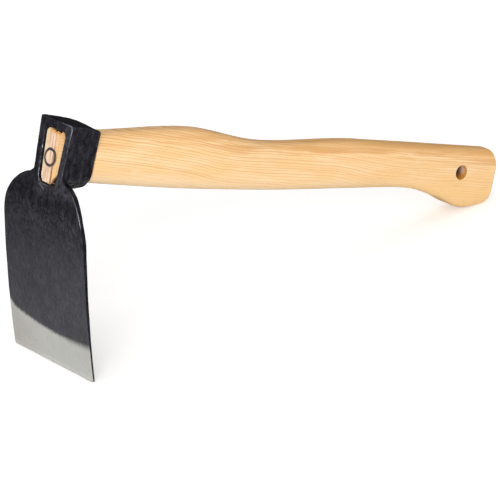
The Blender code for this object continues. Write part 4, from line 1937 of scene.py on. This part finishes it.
@dataclass
class Studio:
    """White floor, soft lights and the camera of the photograph.

    Attributes:
        distance: from the camera to the eye's depth plane, in photograph units.
        unit: millimetres in a photograph unit.
        azimuth: the camera's turn round the tool's Z, in degrees.
        elevation: its height over the tool's XY plane, in degrees.
        roll: its turn about its own axis, in degrees.
        centre: the picture point that the tool's origin falls on, in pixels of a 500 pixel picture.
        pixels_per_unit: scale of the picture at that distance.
        picture: width of that picture, in pixels.
        sensor: width of the camera's sensor, in millimetres.
        ambient: brightness of the surroundings as a light.
        floor_color: the floor's own colour.
        floor_size: half its width, in metres.
        lift: how much whiter than lit the floor shows.
        far_lift: the same far from the tool.
        near_floor: distance from the tool at which the lift starts to grow, in metres.
        far_floor: distance at which it is full, in metres.
        sheet: distance from the blade at which the floor has darkened to half, in metres.
        sheet_share: brightness of the floor next to the blade in reflections.
        near_share: the same on the camera's side.
        right_share: the same behind the handle.
        left_wall: brightness of the room's wall on the left.
        room_light: brightness of its walls elsewhere.
        sheet_falloff: how sharply the floor darkens.
        behind: X over which the handle's side of the floor begins, in metres.
        nearer: Y over which the camera's side begins, in metres.
        wall_up: heights over which the wall brightens, in metres.
        wall_left: X over which it brightens, in metres.
        room_profile: the dark room's outline from the middle of its floor, as (way out, height) in metres.
        softboxes: the lights.
    """

    distance: float = 2000.0
    unit: float = 0.837
    azimuth: float = -41.124
    elevation: float = 11.048
    roll: float = 11.072
    centre: tuple[float, float] = (50.426, 156.837)
    pixels_per_unit: float = 1.45
    picture: float = 500.0
    sensor: float = 36.0
    ambient: float = 0.5
    floor_color: Point = (0.90, 0.90, 0.90)
    floor_size: float = 6.0
    lift: float = 0.30
    far_lift: float = 0.62
    near_floor: float = 0.8
    far_floor: float = 3.2
    sheet: float = 0.27
    sheet_share: float = 0.85
    near_share: float = 0.33
    right_share: float = 0.02
    left_wall: float = 0.62
    room_light: float = 0.015
    sheet_falloff: float = 2.5
    behind: tuple[float, float] = (-0.12, -0.02)
    nearer: tuple[float, float] = (-0.05, -0.14)
    wall_up: tuple[float, float] = (0.05, 0.5)
    wall_left: tuple[float, float] = (0.2, -1.0)
    room_profile: tuple[tuple[float, float], ...] = (
        (0.0, 0.003), (3.0, 0.003), (3.3, 0.3), (3.5, 1.0), (3.5, 6.0), (1.5, 7.0)
    )
    softboxes: tuple[Softbox, ...] = (
        Softbox("key_softbox", (-1.5, -1.5, 0.75), 1.4, 34.0),
        Softbox("fill_softbox", (0.9, -1.9, 0.45), 1.2, 11.0),
        Softbox("top_softbox", (0.1, 0.5, 2.2), 2.4, 13.0, mirrored=False),
    )

    def shown(self, graph: Graph) -> Signal:
        """1 for rays that show the background: to the camera, in reflections and through glass."""
        rays = graph.signals("ShaderNodeLightPath")
        return rays["Is Camera Ray"].at_least(rays["Is Glossy Ray"]).at_least(rays["Is Transmission Ray"])

    def floor(self) -> bpy.types.Object:
        """White floor under the tool.

        Returns:
            The floor.
        """
        material = bpy.data.materials.new("studio_white")
        graph = Graph.on(material)
        away = graph.vector("DISTANCE", graph.coordinates(), (0.0, 0.0, 0.0))
        lift = away.ramp(self.near_floor, self.far_floor, self.lift, self.far_lift)
        surface = {
            "Base Color": opaque(self.floor_color),
            "Roughness": 0.9,
            "Specular IOR Level": 0.0,
            "Emission Color": WHITE,
            "Emission Strength": self.shown(graph) * lift,
        }
        graph.surface(surface)
        mesh = bmesh.new()
        bmesh.ops.create_grid(mesh, x_segments=24, y_segments=24, size=self.floor_size)
        return mesh_object("studio_floor", mesh, material)

    def room(self) -> bpy.types.Object:
        """Dark room round the white sheet, seen only in reflections: its floor darkens away from the tool.

        Returns:
            The room.
        """
        material = bpy.data.materials.new("studio_dark")
        graph = Graph.on(material)
        where = graph.coordinates()
        x, y, z = graph.split(where)
        level = graph.vector("MULTIPLY", where, (1.0, 1.0, 0.0))
        reach = graph.vector("DISTANCE", level, (STAND.x, 0.0, 0.0))
        dimmed = graph.math("POWER", reach / self.sheet, self.sheet_falloff) + 1.0
        sheet = graph.math("DIVIDE", self.sheet_share, dimmed)
        behind = graph.blend(x.ramp(*self.behind), sheet, self.right_share)
        bright = graph.blend(y.ramp(*self.nearer), behind, self.near_share)
        wall = z.ramp(*self.wall_up) * x.ramp(*self.wall_left, 0.0, self.left_wall)
        clear = graph.signal("ShaderNodeBsdfTransparent")
        dark = graph.signal("ShaderNodeEmission", {"Strength": wall + self.room_light})
        graph.surface({0: 1.0 - bright, 1: clear, 2: dark}, "ShaderNodeMixShader")
        mesh = bmesh.new()
        verts = [mesh.verts.new((out, 0.0, height)) for out, height in self.room_profile]
        edges = [mesh.edges.new(pair) for pair in zip(verts, verts[1:])]
        turn = {"cent": (0.0, 0.0, 0.0), "axis": (0.0, 0.0, 1.0), "angle": math.tau, "steps": 64}
        bmesh.ops.spin(mesh, geom=verts + edges, use_merge=True, **turn)
        room = mesh_object("dark_room", mesh, material)
        room.visible_camera = False
        room.visible_diffuse = False
        room.visible_shadow = False
        return room

    def world(self) -> None:
        """White surroundings, a little dimmer as a light."""
        world = bpy.data.worlds.new("studio_world")
        graph = Graph.on(world)
        dim, seen = (
            graph.signal("ShaderNodeBackground", {"Color": WHITE, "Strength": strength})
            for strength in (self.ambient, 1.0)
        )
        graph.surface({0: self.shown(graph), 1: dim, 2: seen}, "ShaderNodeMixShader", "World")
        bpy.context.scene.world = world

    def camera(self) -> bpy.types.Object:
        """The photograph's camera, found from the tool's corners in the picture.

        Returns:
            The camera.
        """
        azimuth, elevation, roll = map(math.radians, (self.azimuth, self.elevation, self.roll))
        level = Vector((math.cos(azimuth), math.sin(azimuth), 0.0))
        away = Vector((math.sin(azimuth), -math.cos(azimuth), 0.0))
        back = away * math.cos(elevation) + Vector((0.0, 0.0, math.sin(elevation)))
        upright = back.cross(level)
        right = math.cos(roll) * level + math.sin(roll) * upright
        up = math.cos(roll) * upright - math.sin(roll) * level
        off_x, off_y = ((at - self.picture / 2) / self.pixels_per_unit for at in self.centre)
        place = (back * self.distance - right * off_x + up * off_y) * self.unit
        data = bpy.data.cameras.new("photo_camera")
        data.sensor_width = self.sensor
        data.lens = self.pixels_per_unit * self.distance / self.picture * self.sensor
        data.clip_start, data.clip_end = 0.05, 30.0
        obj = bpy.data.objects.new("photo_camera", data)
        turn = Matrix((right, up, back)).transposed().to_4x4()
        obj.matrix_world = STAND.frame() @ Matrix.Translation(place * 0.001) @ turn
        bpy.context.scene.collection.objects.link(obj)
        bpy.context.scene.camera = obj
        return obj

    def build(self) -> None:
        """Sets up the floor, the lights, the surroundings and the camera."""
        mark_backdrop(self.floor(), self.room())
        for softbox in self.softboxes:
            softbox.build()
        self.world()
        self.camera()
        bpy.context.scene.view_settings.view_transform = "Standard"


def main() -> None:
    """Builds the looks round the CAD frame."""
    logging.basicConfig(level=logging.INFO, format="%(name)s: %(message)s")
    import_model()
    frame_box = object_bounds()
    head, handle, ring = HeadForm(), HandleForm(), RingForm()
    groups = Groups.make(head)
    lacquer = LacqueredSteel().build(groups)
    ash = Ash().build(groups, handle)
    wedge = WedgeSteel().build(groups)
    low, high = (Vector(corner) for corner in frame_box)
    for piece in (head.build(lacquer), handle.build(ash, ring), ring.build(wedge)):
        piece.place(low, high)
    Studio().build()


if __name__ == "__main__":
    main()
